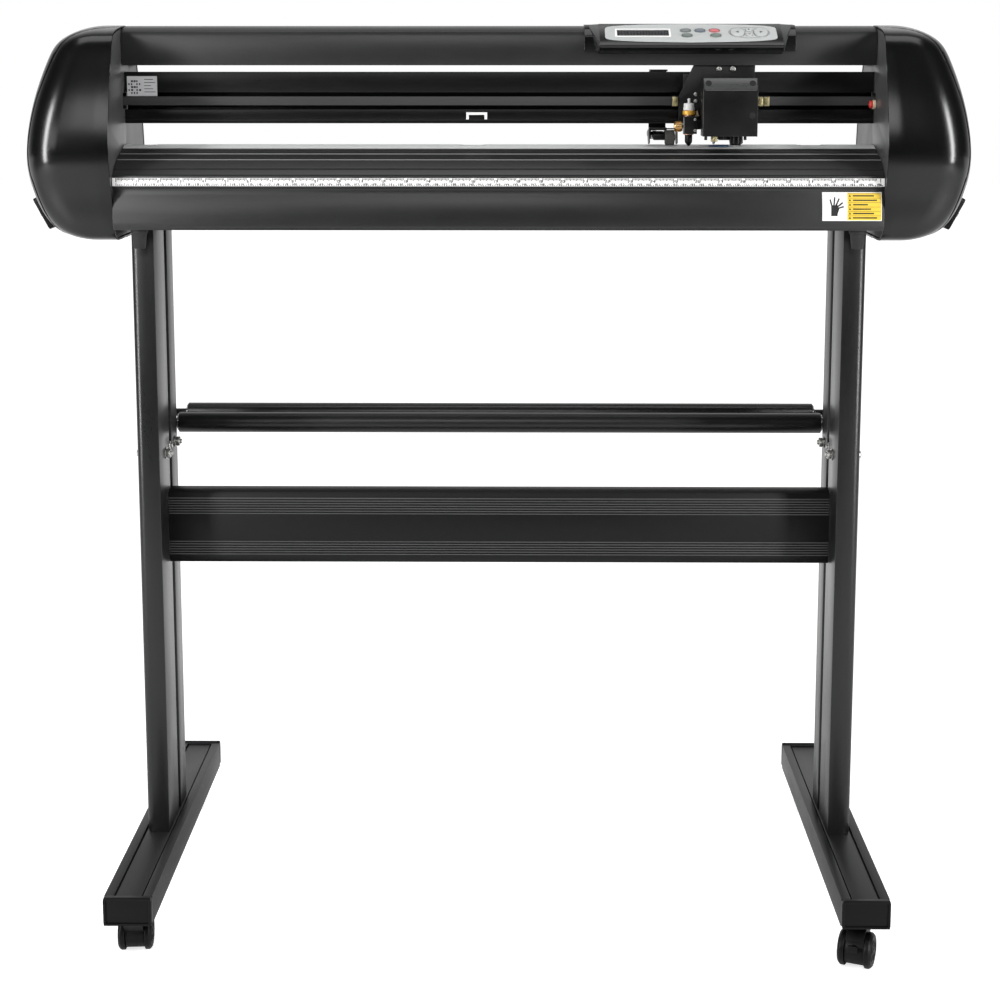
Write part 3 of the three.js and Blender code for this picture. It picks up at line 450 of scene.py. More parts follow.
DOME = [(0, 0), (1.45, 0), (1.45, 0.22), (1, 0.24), (0.97, 0.5), (0.78, 0.83), (0.45, 1), (0.42, 0.55),
        (0, 0.5)]
PAN = [(0, 0), (1, 0), (1, 0.45), (0.85, 0.85), (0.5, 1), (0.4, 1), (0.32, 0.35), (0, 0.35)]


def dome_head(axis, centre, base, out, radius):
    """A domed head on a washer, with a sunk socket."""
    return screw_head(DOME, axis, centre, base, out, radius, 24)


def pan_head(axis, centre, base, out, radius):
    """A low head with a sunk round socket."""
    return screw_head(PAN, axis, centre, base, out, radius, 20)


# ---- end covers

COVER_MID = (3.0, 920.0)  # Y and Z of the skin's middle
COVER_SIDE = 536.0  # X of the side where it stands out furthest, at the bulge
COVER_BULGE = 884
COVER_ROUND = 42.0
FLAT_Y, FLAT_Z = 0.64, 0.83  # how much of the outline's size is left where the rounding ends
COVER_WALL = 2.4
SEAM = (437, -15, 900)  # a point of the slanted seam between the halves
SEAM_GAP = 1.2
COVER_INSIDE = (450, 3, 920)
REAR_PROUD = 0.5  # how far the rear half stands proud of the front half
COVER_OUTLINE = [
    (18, 1042), (-8, 1041), (-32, 1038), (-54, 1034), (-67, 1025), (-74, 1002), (-88, 972), (-100, 931),
    (-106, 896), (-101, 876), (-92, 858), (-88, 831), (-83, 806), (-70, 797), (-45, 797), (0, 797),
    (55, 797), (82, 797), (98, 806), (108, 842), (113, 900), (100, 945), (80, 991), (66, 1025), (46, 1037)]


def smooth_loop(points, steps):
    """A closed curve through the points, by Catmull-Rom."""
    made, count = [], len(points)
    for i in range(count):
        a, b, c, d = [Vector(points[(i + k) % count]) for k in (-1, 0, 1, 2)]
        for s in range(steps):
            t = s / steps
            made.append(tuple(0.5 * (2 * b + (c - a) * t + (2 * a - 5 * b + 4 * c - d) * t * t
                                     + (3 * b - a - 3 * c + d) * t ** 3)))
    return made


def relaxed(loop, passes):
    """The closed curve with its bends eased."""
    for _ in range(passes):
        loop = [tuple(0.5 * b + 0.25 * (a + c) for a, b, c in zip(before, at, after))
                for before, at, after in zip(loop[-1:] + loop[:-1], loop, loop[1:] + loop[:1])]
    return loop


def cover_skin():
    """The outer skin of the right end cover as rings from the open end to the middle of the side."""
    low = span("end_cover_right", 0)[0]
    loop = relaxed(smooth_loop(COVER_OUTLINE, 6), 26)

    def side_at(z):
        """The side falls back faster below its bulge than above it."""
        return COVER_SIDE - (0.0016 if z > COVER_BULGE else 0.0045) * (z - COVER_BULGE) ** 2

    def ring(shrink_y, shrink_z, back):
        points = []
        for y, z in loop:
            ry = COVER_MID[0] + (y - COVER_MID[0]) * shrink_y
            rz = COVER_MID[1] + (z - COVER_MID[1]) * shrink_z
            points.append([low if back is None else side_at(rz) - back, ry, rz])
        return points

    rings = [ring(1, 1, None)]
    start = ring(1, 1, COVER_ROUND)
    for share in (0.33, 0.66):
        rings.append([[low + (p[0] - low) * share, p[1], p[2]] for p in start])
    for step in range(13):
        a = step * math.pi / 24
        drop = 1 - math.cos(a)
        rings.append(ring(1 - (1 - FLAT_Y) * drop, 1 - (1 - FLAT_Z) * drop, COVER_ROUND * (1 - math.sin(a))))
    for share in (0.9, 0.78, 0.62, 0.45, 0.28, 0.12):
        rings.append(ring(share * FLAT_Y, share * FLAT_Z, 0))
    return rings, len(loop)


def cover_piece(side, rear):
    """Front or rear half of an end cover: the skin cut at the slanted seam, given a wall."""
    rings, count = cover_skin()
    shape = bmesh.new()
    grid = [[shape.verts.new([x * MM, y * MM, z * MM]) for x, y, z in ring] for ring in rings]
    tip = shape.verts.new([COVER_SIDE * MM, COVER_MID[0] * MM, COVER_MID[1] * MM])
    for one, two in zip(grid, grid[1:]):
        for i in range(count):
            j = (i + 1) % count
            shape.faces.new([one[i], one[j], two[j], two[i]])
    for i in range(count):
        shape.faces.new([grid[-1][i], grid[-1][(i + 1) % count], tip])
    bmesh.ops.recalc_face_normals(shape, faces=shape.faces)
    seam = Vector((0.68, 1.0, 0.0)).normalized()
    point = Vector((SEAM[0], SEAM[1] + SEAM_GAP / (2 if rear else -2), SEAM[2])) * MM
    everything = shape.verts[:] + shape.edges[:] + shape.faces[:]
    bmesh.ops.bisect_plane(shape, geom=everything, plane_co=point, plane_no=seam, clear_inner=rear,
                           clear_outer=not rear, dist=1e-7)
    if rear:
        bmesh.ops.recalc_face_normals(shape, faces=shape.faces)
        shape.normal_update()
        for v in shape.verts:
            outwards = v.normal.dot(v.co - Vector(COVER_INSIDE) * MM) > 0
            v.co += v.normal * REAR_PROUD * MM * (1 if outwards else -1)
    name = f"cover_{'rear' if rear else 'front'}_{side}"
    mesh = bpy.data.meshes.new(name)
    if side == "left":
        bmesh.ops.scale(shape, vec=(-1, 1, 1), verts=shape.verts)
        bmesh.ops.reverse_faces(shape, faces=shape.faces)
    shape.normal_update()
    shape.to_mesh(mesh)
    shape.free()
    obj = add_object(name, mesh)
    mesh.materials.append(LOOK["gloss"])
    wall = obj.modifiers.new("wall", "SOLIDIFY")
    wall.thickness = COVER_WALL * MM
    wall.offset = -1
    if rear:
        carve(obj, [sided(hole, side) for hole in LOUVRES + PORT_HOLES[side]])
    round_edges(obj, 0.5, 2, 50)
    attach(obj, "root")
    return obj


# The slanted port boss low on each cover, as a frame with +X outwards.
PORT = Matrix.Translation((531.4, 5, 825)) @ Matrix.Rotation(math.atan2(19, 36), 4, "Y")


def port_hole(y, z, radius, steps):
    return moved(prism("x", rounded(y, z, radius, steps), (-40, 5)), PORT)


LOUVRES = [prism("x", rounded((5 * i - 64, 48 - i), (931.8 + 12 * i, 936.2 + 12 * i), 2.156, 5), (470, 560))
           for i in range(7)]
INLET_HOLE = port_hole((-30, 2), (-12.5, 12.5), 0.5, 1)
SWITCH_HOLE = port_hole((9, 31), (-8, 8), 0.5, 1)
DATA_HOLE = port_hole((-28, -14), (-6.5, 6.5), 1, 2)
SERIAL_HOLE = port_hole((0, 22), (-5.5, 5.5), 3, 3)
PORT_HOLES = {"left": [INLET_HOLE, SWITCH_HOLE], "right": [DATA_HOLE, SERIAL_HOLE]}


def on_port(part, side="left"):
    return sided(moved(part, PORT), side)


for s in SIDES:
    cover_piece(s, False)
    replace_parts(cover_piece(s, True), f"end_cover_{s}")
    boss = prism("x", rounded((-40, 40), (-20, 20), 4, 5), (-14, 0))
    piece(f"port_boss_{s}", [on_port(boss, s)], "root", "cap", 0.9, 3, 40,
          holes=[sided(hole, s) for hole in PORT_HOLES[s]])

# Power side: contact pins in the inlet and the rocker's two marks.
PINS = ((-21.5, -1.5), (-6.5, -1.5), (-14, 3.5))
piece("inlet_pins", [on_port(prism("x", rounded((y - 1.1, y + 1.1), (z - 2.2, z + 2.2), 0.6, 2), (-15, -3)))
                     for y, z in PINS], "root", "steel", 0.2)
marks = [prism("x", rounded((13.4, 14.2), (-2.4, 2.4), 0.3, 2), (0.2, 0.75)),
         ring_outline(oval(2.3, 2.3, 26, 0, 20), oval(1.6, 1.6, 26, 0, 20), "x", (-1.6, -0.35))]
piece("switch_marks", [on_port(mark) for mark in marks], "power_switch", "paper", 0)

for s in SIDES:
    screws = [on_port(pan_head("x", (y, 0), -0.2, 1.6, 2.6), s) for y in (-36, 36)]
    piece(f"port_screws_{s}", screws, "root", "zinc", 0.1)

# Data side: a square socket with its tongue, and a shell-shaped nine-pin port with two posts.
walls = ring_outline(rounded((-27.6, -14.4), (-6.1, 6.1), 1, 3), rounded((-26.6, -15.4), (-5.1, 5.1), 1, 3),
                     "x", (-12, 0.5))
bottom = prism("x", rounded((-26.5, -15.5), (-5, 5), 1, 3), (-12, -11))
piece("data_socket", [on_port(part, "right") for part in (walls, bottom)], "root", "steel", 0)
tongue = prism("x", rounded((-24, -18), (-2, 2), 0.4, 2), (-11, -2))
piece("data_tongue", [on_port(tongue, "right")], "root", "holder", 0.2)
shell = [(1.2, 4.6), (20.8, 4.6), (21.4, 4), (19.4, -4.2), (18.6, -4.6), (3.4, -4.6), (2.6, -4.2), (0.6, 4)]
inner_shell = [(11 + (u - 11) * 0.9, v * 0.82) for u, v in shell]
parts = [ring_outline(shell, inner_shell, "x", (-8, 1.2)), prism("x", shell, (-9, -7.8))]
parts += [hex_nut("x", (y, 0), (0, 2.4), 4.6, 1.3) for y in (-3.6, 25.6)]
piece("serial_port", [on_port(part, "right") for part in parts], "root", "steel", 0)
pins = [(4.4 + 3.3 * i, 1.6) for i in range(5)] + [(6.05 + 3.3 * i, -1.6) for i in range(4)]
pin = [(0, -7.8), (0.5, -7.8), (0.5, -1.4), (0.3, -1), (0, -1)]
piece("serial_pins", [on_port(turned("x", pin, at, 10), "right") for at in pins], "root", "brass", 0)

# ---- head: strips, ruler, labels, feet

INSIDE = 436.2  # half length between the side plates
RAIL_FRONT = -3  # front face of the guide rail
INCH = 25.4
DIGIT_BARS = {"0": "abcdef", "1": "bc", "2": "abged", "3": "abgcd", "4": "fgbc", "5": "afgcd", "6": "afgedc",
              "7": "abc", "8": "abcdefg", "9": "abcdfg"}


def digit_bars(text, x, z, y, width, height, stroke):
    """Plain digits made of straight bars, centred on x, facing the front."""
    half, mid = stroke / 2, height / 2
    bars = {"a": (0, width, height - half), "g": (0, width, mid), "d": (0, width, half)}
    uprights = {"f": (0, mid, height), "b": (width, mid, height), "e": (0, 0, mid), "c": (width, 0, mid)}
    made, pitch = [], width * 1.7
    start = x - (pitch * (len(text) - 1) + width) / 2
    for i, digit in enumerate(text):
        left = start + i * pitch
        for bar in DIGIT_BARS[digit]:
            if bar in bars:
                a, b, at = bars[bar]
                made.append(block((left + a, left + b), y, (z + at - half, z + at + half)))
            else:
                at, a, b = uprights[bar]
                made.append(block((left + at - half, left + at + half), y, (z + a, z + b)))
    return made


def slope_strip(ends, x, thick):
    """A thin strip lying on a slope of the platen, between two (y, z) points."""
    (y0, z0), (y1, z1) = ends
    run = math.hypot(y1 - y0, z1 - z0)
    ny, nz = -(z1 - z0) / run * thick, (y1 - y0) / run * thick
    if nz < 0:
        ny, nz = -ny, -nz
    return prism("x", [(y0, z0), (y1, z1), (y1 + ny, z1 + nz), (y0 + ny, z0 + nz)], x)


# Cutting strip: on the first front slope. The light grey blocks on the crest between the slots over the grit
# rollers are painted reflection of the overhead light.
crest_sheen_spans = [(-INSIDE, -430), (-400, -45), (-15, 349), (379, INSIDE)]
piece("cutting_strip_and_crest_sheen", [slope_strip(((-23.4, 900.6), (-13.2, 903.93)), (-INSIDE, INSIDE), 0.35)]
      + [block(x, (-12.6, 6.4), (904, 904.35)) for x in crest_sheen_spans], "root", "strip_and_crest_sheen", 0.1)
# Painted highlight: light lines along the platen's two step edges.
piece("step_edge_highlights", [block((-INSIDE, INSIDE), (y - 0.12, y), z)
                     for y, z in ((-41, (894.75, 895.75)), (-59, (889.0, 890.05)))], "root", "edge_highlight", 0)
# Painted shade: a thin dark strip on the slope stands in for the shade of a groove.
groove = slope_strip(((-76.6, 879.05), (-75.2, 880.45)), (-INSIDE, INSIDE), 0.12)
piece("slope_groove_shade", [groove], "root", "painted_shade", 0)
piece("blue_tape", [slope_strip(((-18.4, 902.23), (-13.4, 903.87)), (244, 267), 0.6)], "root", "blue", 0)

# Ruler: white film with inches above and centimetres below.
RULER_Y, RULER_START = -86.4, -432
RULER_LOW, RULER_HIGH = 861.3, 869.9  # where the marks start
piece("ruler_film", [block((-INSIDE, INSIDE), (RULER_Y - 0.3, RULER_Y), (861, 870.2))], "root", "paper", 0)
marks = []
ink_y = (RULER_Y - 0.38, RULER_Y - 0.3)
for i in range(16 * 34 + 1):
    x = RULER_START + i * INCH / 16
    if x < INSIDE - 1 and i % 16 not in (14, 15):
        tall = 4.4 if i % 16 == 0 else 3.0 if i % 4 == 0 else 2.2
        marks.append(block((x - 0.44, x + 0.44), ink_y, (RULER_HIGH - tall, RULER_HIGH)))
for i in range(5 * 87 + 1):
    x = RULER_START + i * 2
    if x < INSIDE - 1:
        tall = 3.0 if i % 5 == 0 else 1.6
        marks.append(block((x - 0.36, x + 0.36), ink_y, (RULER_LOW, RULER_LOW + tall)))
for i in range(1, 34):
    marks += digit_bars(str(i), RULER_START + i * INCH - 3.0, 865.0, ink_y, 1.6, 2.9, 0.62)
for i in range(1, 87):
    marks += digit_bars(str(i), RULER_START + i * 10 + 2.9, 861.9, ink_y, 1.3, 2.5, 0.52)
piece("ruler_marks", marks, "root", "ink", 0)

# Small rubber feet under the head, in front of and behind the posts.
HEAD_FOOT = [(0, 789), (6.2, 789), (6.9, 790), (8.6, 806), (9.9, 807), (9.9, 811), (0, 811)]
piece("head_feet", [turned("z", HEAD_FOOT, (x, y), 28) for x in (-POST_X, POST_X) for y in (-72, 71)], "root",
      "black_rubber", 0.3)

# On the rail: a silver plate with plain squares and bars, a white index mark, and an end stop.
LABEL_FACE = RAIL_FRONT - 0.25
piece("rail_label", [block((-433, -398), (LABEL_FACE, RAIL_FRONT), (960.5, 983.5))], "root", "silver", 0)
ink_y = (LABEL_FACE - 0.15, LABEL_FACE)
bars = []
for column in range(5):
    for row in range(5):
        if (column + 2 * row) % 4:
            x, z = -431.5 + 3.1 * column, 963 + 3.4 * row
            wide = 2.4 if (column * row) % 3 else 1.5
            bars.append(block((x, x + wide), ink_y, (z, z + 2.2)))
for row in range(5):
    z = 965 + 3.6 * row
    bars.append(block((-413, -400 - 2.5 * (row % 3)), ink_y, (z, z + 0.7)))
piece("rail_label_print", bars, "root", "ink", 0)
mark = [((-37.6, -13.3), (938.9, 941.8)), ((-37.6, -34.6), (933.6, 938.9)), ((-16.3, -13.3), (933.6, 938.9))]
piece("index_mark", [block(x, (RAIL_FRONT - 0.3, RAIL_FRONT), z) for x, z in mark], "root", "paper", 0)
STOP = (-14, 951.3)
bush = [(0, 429.3), (3.9, 429.3), (4.5, 430), (4.5, 433.1), (0, 433.1)]
piece("belt_bush", [turned("x", bush, STOP, 24)], "root", "red", 0.2)
piece("belt_bush_collar", [rod("x", STOP, (433.1, 436.5), 5.2, 24)], "root", "nylon", 0.3)

# Label on the curved apron: a white field with a plain dark figure, and a yellow field with dark bars.
APRON_OUT, APRON_FULL, APRON_BOW = 89.8, 822, 0.0061  # reach and height of the fullest place, and the bow


def apron_y(z):
    return APRON_BOW * (z - APRON_FULL) ** 2 - APRON_OUT


def apron_film(x, z, lift, thick):
    """A thin film that follows the apron between two heights, bent where the apron's facets meet."""
    heights = [z[0]] + [at for at in range(815, 856, 5) if z[0] < at < z[1]] + [z[1]]
    back = [(apron_y(at) - lift, at) for at in heights]
    front = [(y - thick, at) for y, at in back]
    return prism("x", back + front[::-1], x)


def apron_print(outline, lift=0.5, thick=0.25):
    """A printed figure from an outline in X and Z, pushed onto the apron."""
    verts, faces = prism("y", outline, (-lift - thick, -lift))
    return [[x, y + apron_y(z), z] for x, y, z in verts], faces


LABEL_X, LABEL_Z = (366, 434), (822, 855)
piece("apron_label_white", [apron_film(LABEL_X, LABEL_Z, 0.1, 0.3)], "root", "paper", 0)
piece("apron_label_yellow", [apron_film((394.6, 432.8), (823.3, 853.7), 0.4, 0.1)], "root", "yellow", 0)
print_bars = [apron_film((x, x + 0.5), LABEL_Z, 0.4, 0.1) for x in (366, 433.5)]
print_bars += [apron_film(LABEL_X, (z, z + 0.5), 0.4, 0.1) for z in (822, 854.5)]
for i in range(6):
    z = 825 + 4.9 * i
    print_bars += [apron_print(rectangle((401, 428 - 3.4 * (i * 5 % 4)), (z + 0.3, z + 1.7))),
                   apron_print([(396.2, z), (398.8, z), (397.5, z + 2.3)]),
                   apron_print(rectangle((395.2, 432.2), (z + 3.2, z + 3.45)))]
# The hand: its cuff, its back, and five fingers as bars between two points.
print_bars.append(apron_film((376.4, 383.6), (828, 840), 0.4, 0.2))
print_bars.append(apron_print([(383, 828.6), (385.5, 836), (383, 840)]))
FINGERS = [((383.5, 836.5), (390.5, 838.5)), ((383, 838), (389.5, 843)), ((381.5, 839), (385.5, 847.5)),
           ((379.5, 839.5), (380.5, 849)), ((377.2, 839), (375.2, 846.5))]
for (x0, z0), (x1, z1) in FINGERS:
    run = math.hypot(x1 - x0, z1 - z0)
    nx, nz = (z1 - z0) / run * 0.8, -(x1 - x0) / run * 0.8
    finger = [(x0 - nx, z0 - nz), (x1 - nx, z1 - nz), (x1 + nx, z1 + nz), (x0 + nx, z0 + nz)]
    print_bars.append(apron_print(finger))
piece("apron_label_print", print_bars, "root", "ink", 0)

# ---- head: console

CONSOLE_X = 220.7
FACE = Matrix.Translation((CONSOLE_X, -24.5, 1032.1)) @ Matrix.Rotation(math.atan2(22.7, 41), 4, "X")


def on_face(part):
    """A part drawn with the console's face as the XY plane, Z out of it."""
    return moved(part, FACE)


def bowed_plate(half_u, mid_v, end_half, bow, power, count=128):
    """Outline of the keypad: long sides bowed outwards and well-rounded ends."""
    points = []
    for i in range(count):
        a = 2 * math.pi * i / count
        c, s = math.cos(a), math.sin(a)
        u = half_u * math.copysign(abs(c) ** (2 / power), c)
        v = (end_half + bow * (1 - (u / half_u) ** 2)) * math.copysign(abs(s) ** (2 / power), s)
        points.append((u, mid_v + v))
    return points


# Centre and half sizes of each key, on the console's face.
OVAL, ARROWS = (6.3, 3.9), (66.7, -0.6)
KEY_OVALS = {"key_reset": (-5.8, 3.7, *OVAL), "key_test": (10.7, 3.7, *OVAL), "key_stop": (27.1, 3.7, *OVAL),
             "key_menu": (-4.8, -7.8, *OVAL), "key_enter": (28.1, -7.8, *OVAL),
             "key_left": (53.3, -0.6, 8.3, 10.8), "key_right": (80.1, -0.6, 8.3, 10.8),
             "key_up": (66.7, 5.6, 3.6, 3.9), "key_down": (66.7, -5.6, 3.6, 3.9)}
HEADINGS = {"key_left": math.pi, "key_right": 0, "key_up": math.pi / 2, "key_down": -math.pi / 2}
WINDOW_U, WINDOW_V = (-84.6, -25.3), (-8.2, 6.4)
FILM_TOP, KEY_TOP = 1.5, 2.5


def grown(ends, by):
    return ends[0] - by, ends[1] + by


def oval_ring(u, v, outer, inner, depth, sides):
    return ring_outline(oval(*outer, u, v, sides), oval(*inner, u, v, sides), "z", depth)


openings = [prism("z", oval(a + 0.2, b + 0.2, u, v, 36), (-1, 3)) for u, v, a, b in KEY_OVALS.values()]
openings.append(block(WINDOW_U, WINDOW_V, (-1, 3)))
keypad = prism("z", bowed_plate(98.3, -0.9, 16.0, 5.4, 9), (0.3, FILM_TOP))
piece("keypad_face", [on_face(keypad)], "root", "film", 0.2, 1, 40,
      replaces=("keypad_plate",), holes=[on_face(hole) for hole in openings])
border = [rectangle(grown(WINDOW_U, margin), grown(WINDOW_V, margin)) for margin in (2.2, 0.1)]
piece("display_border", [on_face(ring_outline(*border, "z", (FILM_TOP - 0.05, 1.7)))], "root", "paper", 0)
glass = block(grown(WINDOW_U, -0.1), grown(WINDOW_V, -0.1), (0.1, 0.7))
piece("display_glass", [on_face(glass)], "root", "glass", 0)
piece("display_cells", [on_face(block((-82 + 3.5 * i, -79.3 + 3.5 * i), (v, v + 4.6), (0.7, 0.76)))
                        for i in range(16) for v in (-6.2, -0.2)], "root", "cells", 0)
piece("keypad_ring", [on_face(oval_ring(*ARROWS, (23.6, 12.6), (23.2, 12.2), (FILM_TOP, 1.62), 64))], "root",
      "fine_print", 0)
for key, (u, v, a, b) in KEY_OVALS.items():
    drawn = []
    print_z = (KEY_TOP, KEY_TOP + 0.1)
    if a > 5:
        width = 0.8 if (a, b) == OVAL else 0.35
        drawn.append(oval_ring(u, v, (a - 0.1, b - 0.1), (a - width, b - width), print_z, 44))
    if key in HEADINGS:
        size = 2.6 if a > 5 else 1.7
        turns = [HEADINGS[key] + t for t in (0, 2 * math.pi / 3, 4 * math.pi / 3)]
        drawn.append(prism("z", [(u + size * math.cos(t), v + size * math.sin(t)) for t in turns], print_z))
    piece(f"{key}_print", [on_face(part) for part in drawn], key, "fine_print", 0)


def solid_of(points):
    """The closed body that spans a few points."""
    shape = bmesh.new()
    for point in points:
        shape.verts.new(point)
    bmesh.ops.convex_hull(shape, input=shape.verts)
    shape.verts.ensure_lookup_table()
    shape.verts.index_update()
    made = [list(v.co) for v in shape.verts], [[v.index for v in f.verts] for f in shape.faces]
    shape.free()
    return made


# Flared cheeks of the console between its raised face and the band round the beam.
CHEEK = [(104.4, -4.2, 1043.3), (104.4, -44.8, 1020.9), (104.4, -45.8, 1016), (104.4, -19, 1011),
         (118, -5.8, 1042.4), (108, -20.2, 1011.5)]
for s, sign in (("left", -1), ("right", 1)):
    cheek = solid_of([(CONSOLE_X + sign * x, y, z) for x, y, z in CHEEK])
    piece(f"console_cheek_{s}", [cheek], "root", "cheek", angle=12)

# ---- head: carriage

FRONT = -62  # front face of the carriage cover
PLATE_FRONT = -12.5  # front face of the carriage plate


def front_screw(x, z, y, radius, out):
    return pan_head("y", (x, z), y, -out, radius)


PLATE_SCREWS = ((255, 992, 3.1, 1.8), (271, 992, 3.4, 1.8), (228.6, 963, 2.4, 1.6), (228.6, 955, 2.4, 1.6))
piece("plate_screws", [front_screw(x, z, PLATE_FRONT, radius, out) for x, z, radius, out in PLATE_SCREWS],
      "carriage", "zinc", 0.1)
# Painted shade: a dark disc stands in for the shade inside a screw hole in the cover's front.
piece("cover_hole_shade", [rod("y", (289, 940), (FRONT - 0.15, FRONT + 3), 3.6, 24)], "carriage", "painted_shade", 0)
# The bevel's own frame: the two screw holes lie on its slope, drawn as dark discs of painted shade.
BEVEL = Matrix.Translation((0, -58, 975.5)) @ Matrix.Rotation(math.atan2(13, 8), 4, "X")
SUNK = [(0, -3), (3.6, -3), (3.6, 0.22), (2.9, 0.22), (2.7, 0.16), (0, 0.16)]
sunk = [moved(turned("z", SUNK, (x, 0.5), 24), BEVEL) for x in (239, 289)]
piece("bevel_hole_shade", sunk, "carriage", "painted_shade", 0)
# A lighter grey band over the bevel's slope.
band = block((233.9, 294.1), (-7.4, 7.0), (-0.2, 0.12))
piece("bevel_band", [moved(band, BEVEL)], "carriage", "bevel_band", 0.1)
# Painted highlight: light lines on the carriage cover's left edge and along the top of its front face.
lines = [block((232.85, 233.25), (FRONT + 1.4, FRONT + 2.2), (918.5, 967.5)),
         block((235, 293), (FRONT - 0.08, FRONT + 0.4), (968.1, 968.5))]
piece("cover_edge_highlight", lines, "carriage", "edge_highlight", 0)
CLAMP, TOOTH = (-14.3, PLATE_FRONT), (-14.9, -14.2)  # depth of the belt clamps and of the teeth on them
CLAMP_BLOCKS = [((201.4, 208), CLAMP, (949.3, 960)), ((300.2, 306.2), CLAMP, (949.3, 960)),
                ((307.4, 313.8), CLAMP, (949.3, 960)), ((306, 307.6), (-13.6, PLATE_FRONT), (950, 959)),
                ((202.6, 206.8), TOOTH, (951.5, 957.8)), ((301.4, 305.2), TOOTH, (951, 954)),
                ((301.4, 305.2), TOOTH, (955.3, 958.3)), ((308.6, 312.6), TOOTH, (951, 954)),
                ((308.6, 312.6), TOOTH, (955.3, 958.3))]
piece("belt_clamps", [block(*ends) for ends in CLAMP_BLOCKS], "carriage", "pale_brass", 0.35)
UNDER = 916.4  # underside of the carriage cover
FOOT = [(0, 905.2), (5.2, 905.2), (5.8, 906), (6.6, UNDER), (0, UNDER)]
piece("carriage_foot", [turned("z", FOOT, (273.5, -36), 24)], "carriage", "cap")
studs = [rod("z", (x, -40), (909.4, UNDER), 1.8, 16) for x in (246, 250)]
piece("carriage_studs", studs, "carriage", "pale_brass", 0.2)
pegs = [rod("z", (x, -44), (911.4, UNDER), 1.7, 14) for x in (238, 260, 283)]
piece("carriage_pegs", pegs, "carriage", "cap", 0.2)

# Blade holder in its parts, on the tool slider: the cap with its pin, the ring, the barrel and the nose.
TOOL_Y = -27.5
TOOL = (219.7, TOOL_Y)
CAP = [(0, 944.8), (6.3, 944.8), (6.6, 945.3), (6.6, 948), (6.1, 948.6), (6.1, 952.2), (5.5, 953), (2, 953.3),
       (1.6, 953.8), (1.5, 956.6), (2, 957), (1.3, 958.4), (0, 958.5)]
RING = [(0, 939.7), (6.9, 939.7), (7.2, 940.3), (7.2, 943.9), (6.9, 944.6), (0, 944.6)]
BARREL = [(0, 917), (4.4, 917), (4.4, 926), (3.8, 926.5), (3.8, 928), (4.4, 928.5), (4.4, 934), (3.5, 934.6),
          (3.5, 939.7), (0, 939.7)]
NOSE = [(0, 903.8), (1.1, 904.1), (3.7, 907.5), (4.3, 909), (4.3, 917), (0, 917)]
piece("holder_cap", [turned("z", CAP, TOOL)], "tool", "holder", 0.2,
      replaces=("blade_holder",))
piece("holder_ring", [turned("z", RING, TOOL, 36)], "tool", "gold", 0.2)
piece("holder_barrel", [turned("z", BARREL, TOOL)], "tool", "steel", 0.15)
piece("holder_nose", [turned("z", NOSE, TOOL)], "tool", "cap", 0.15)
POST, POST_AT = [(0, 938), (1.6, 938), (1.6, 941), (0.5, 944.5), (0, 944.5)], (229.6, -23)
post = [turned("z", POST, POST_AT, 20), rod("z", POST_AT, (937.9, 939.2), 2.6, 20)]
piece("lift_post", post, "tool", "nylon", 0.15)
piece("clamp_washers", [rod("z", TOOL, (z, z + 0.9), radius, 28) for z, radius in ((938, 6.4), (917.1, 5.9))],
      "tool", "copper", 0.2)
piece("clamp_screws", [front_screw(226.4, z, -34.9, 1.7, 1.0) for z in (934.5, 922)], "tool", "zinc", 0.05)
# Painted highlight: a thin silver strip on the clamp's left edge stands in for a glint.
piece("clamp_edge_glint", [block((213.3, 213.75), (-35.1, -34.6), (919, 937))], "tool", "silver", 0)


def ribs(count, centre, low, high, along):
    """Ribs round an axis along X. Low and high are the radius and half width of a rib's foot and top."""
    (r0, w0), (r1, w1) = low, high
    rib = prism("x", [(r0, -w0), (r1, -w1), (r1, w1), (r0, w0)], along)
    place = Matrix.Translation((0, *centre))
    return [moved(rib, place @ Matrix.Rotation(2 * math.pi * i / count, 4, "X")) for i in range(count)]


grip = ribs(20, (TOOL_Y, 926.3), (5.2, 0.28), (6.1, 0.22), (204.4, 210.8))
piece("knob_grip", grip, "clamp_knob", "brass", 0)

# Pinch rollers: axle nuts, screws, a spring, end plates and a tread to each set.
AXLE = (-12, 913.1)
GUARD = [(-15, 907), (-4, 905), (6, 905), (14, 911), (14, 921), (-2, 923.2), (-9, 923.2)]
for s, px in (("left", 186.5), ("right", 262)):
    bracket = f"pinch_bracket_{s}"
    nut = [(0, px + 18), (3.4, px + 18), (3.4, px + 19.2), (2.2, px + 19.5), (0, px + 19.5)]
    piece(f"pinch_axle_ends_{s}", [turned("x", nut, AXLE, 18)], f"pinch_arm_{s}", "zinc", 0.1)
    screws = [hex_nut("x", (12, 917), (x, x + 2.2), 6.4, 1.9) for x in (px + 10, px - 12.2)]
    piece(f"pinch_screws_{s}", screws, bracket, "zinc", 0.1)
    turns = [917.3 + 0.9 * i for i in range(7)]
    coil = [washer("z", (px - 3, 27), (z, z + 0.55), 2.0, 2.9, 18) for z in turns]
    piece(f"pinch_spring_{s}", coil, bracket, "zinc", 0)
    guard = [prism("x", GUARD, x) for x in ((px - 11.4, px - 10.3), (px + 20.6, px + 22))]
    guard.append(block((px - 11, px + 21.5), (-1.5, 8), (922, 923.4)))
    piece(f"pinch_guard_{s}", guard, bracket, "carriage")
    tread = ribs(28, AXLE, (8.3, 0.36), (8.7, 0.26), (px + 7.6, px + 17.4))
    piece(f"pinch_tread_{s}", tread, f"pinch_wheel_{s}", "rubber", 0)

# ---- stand

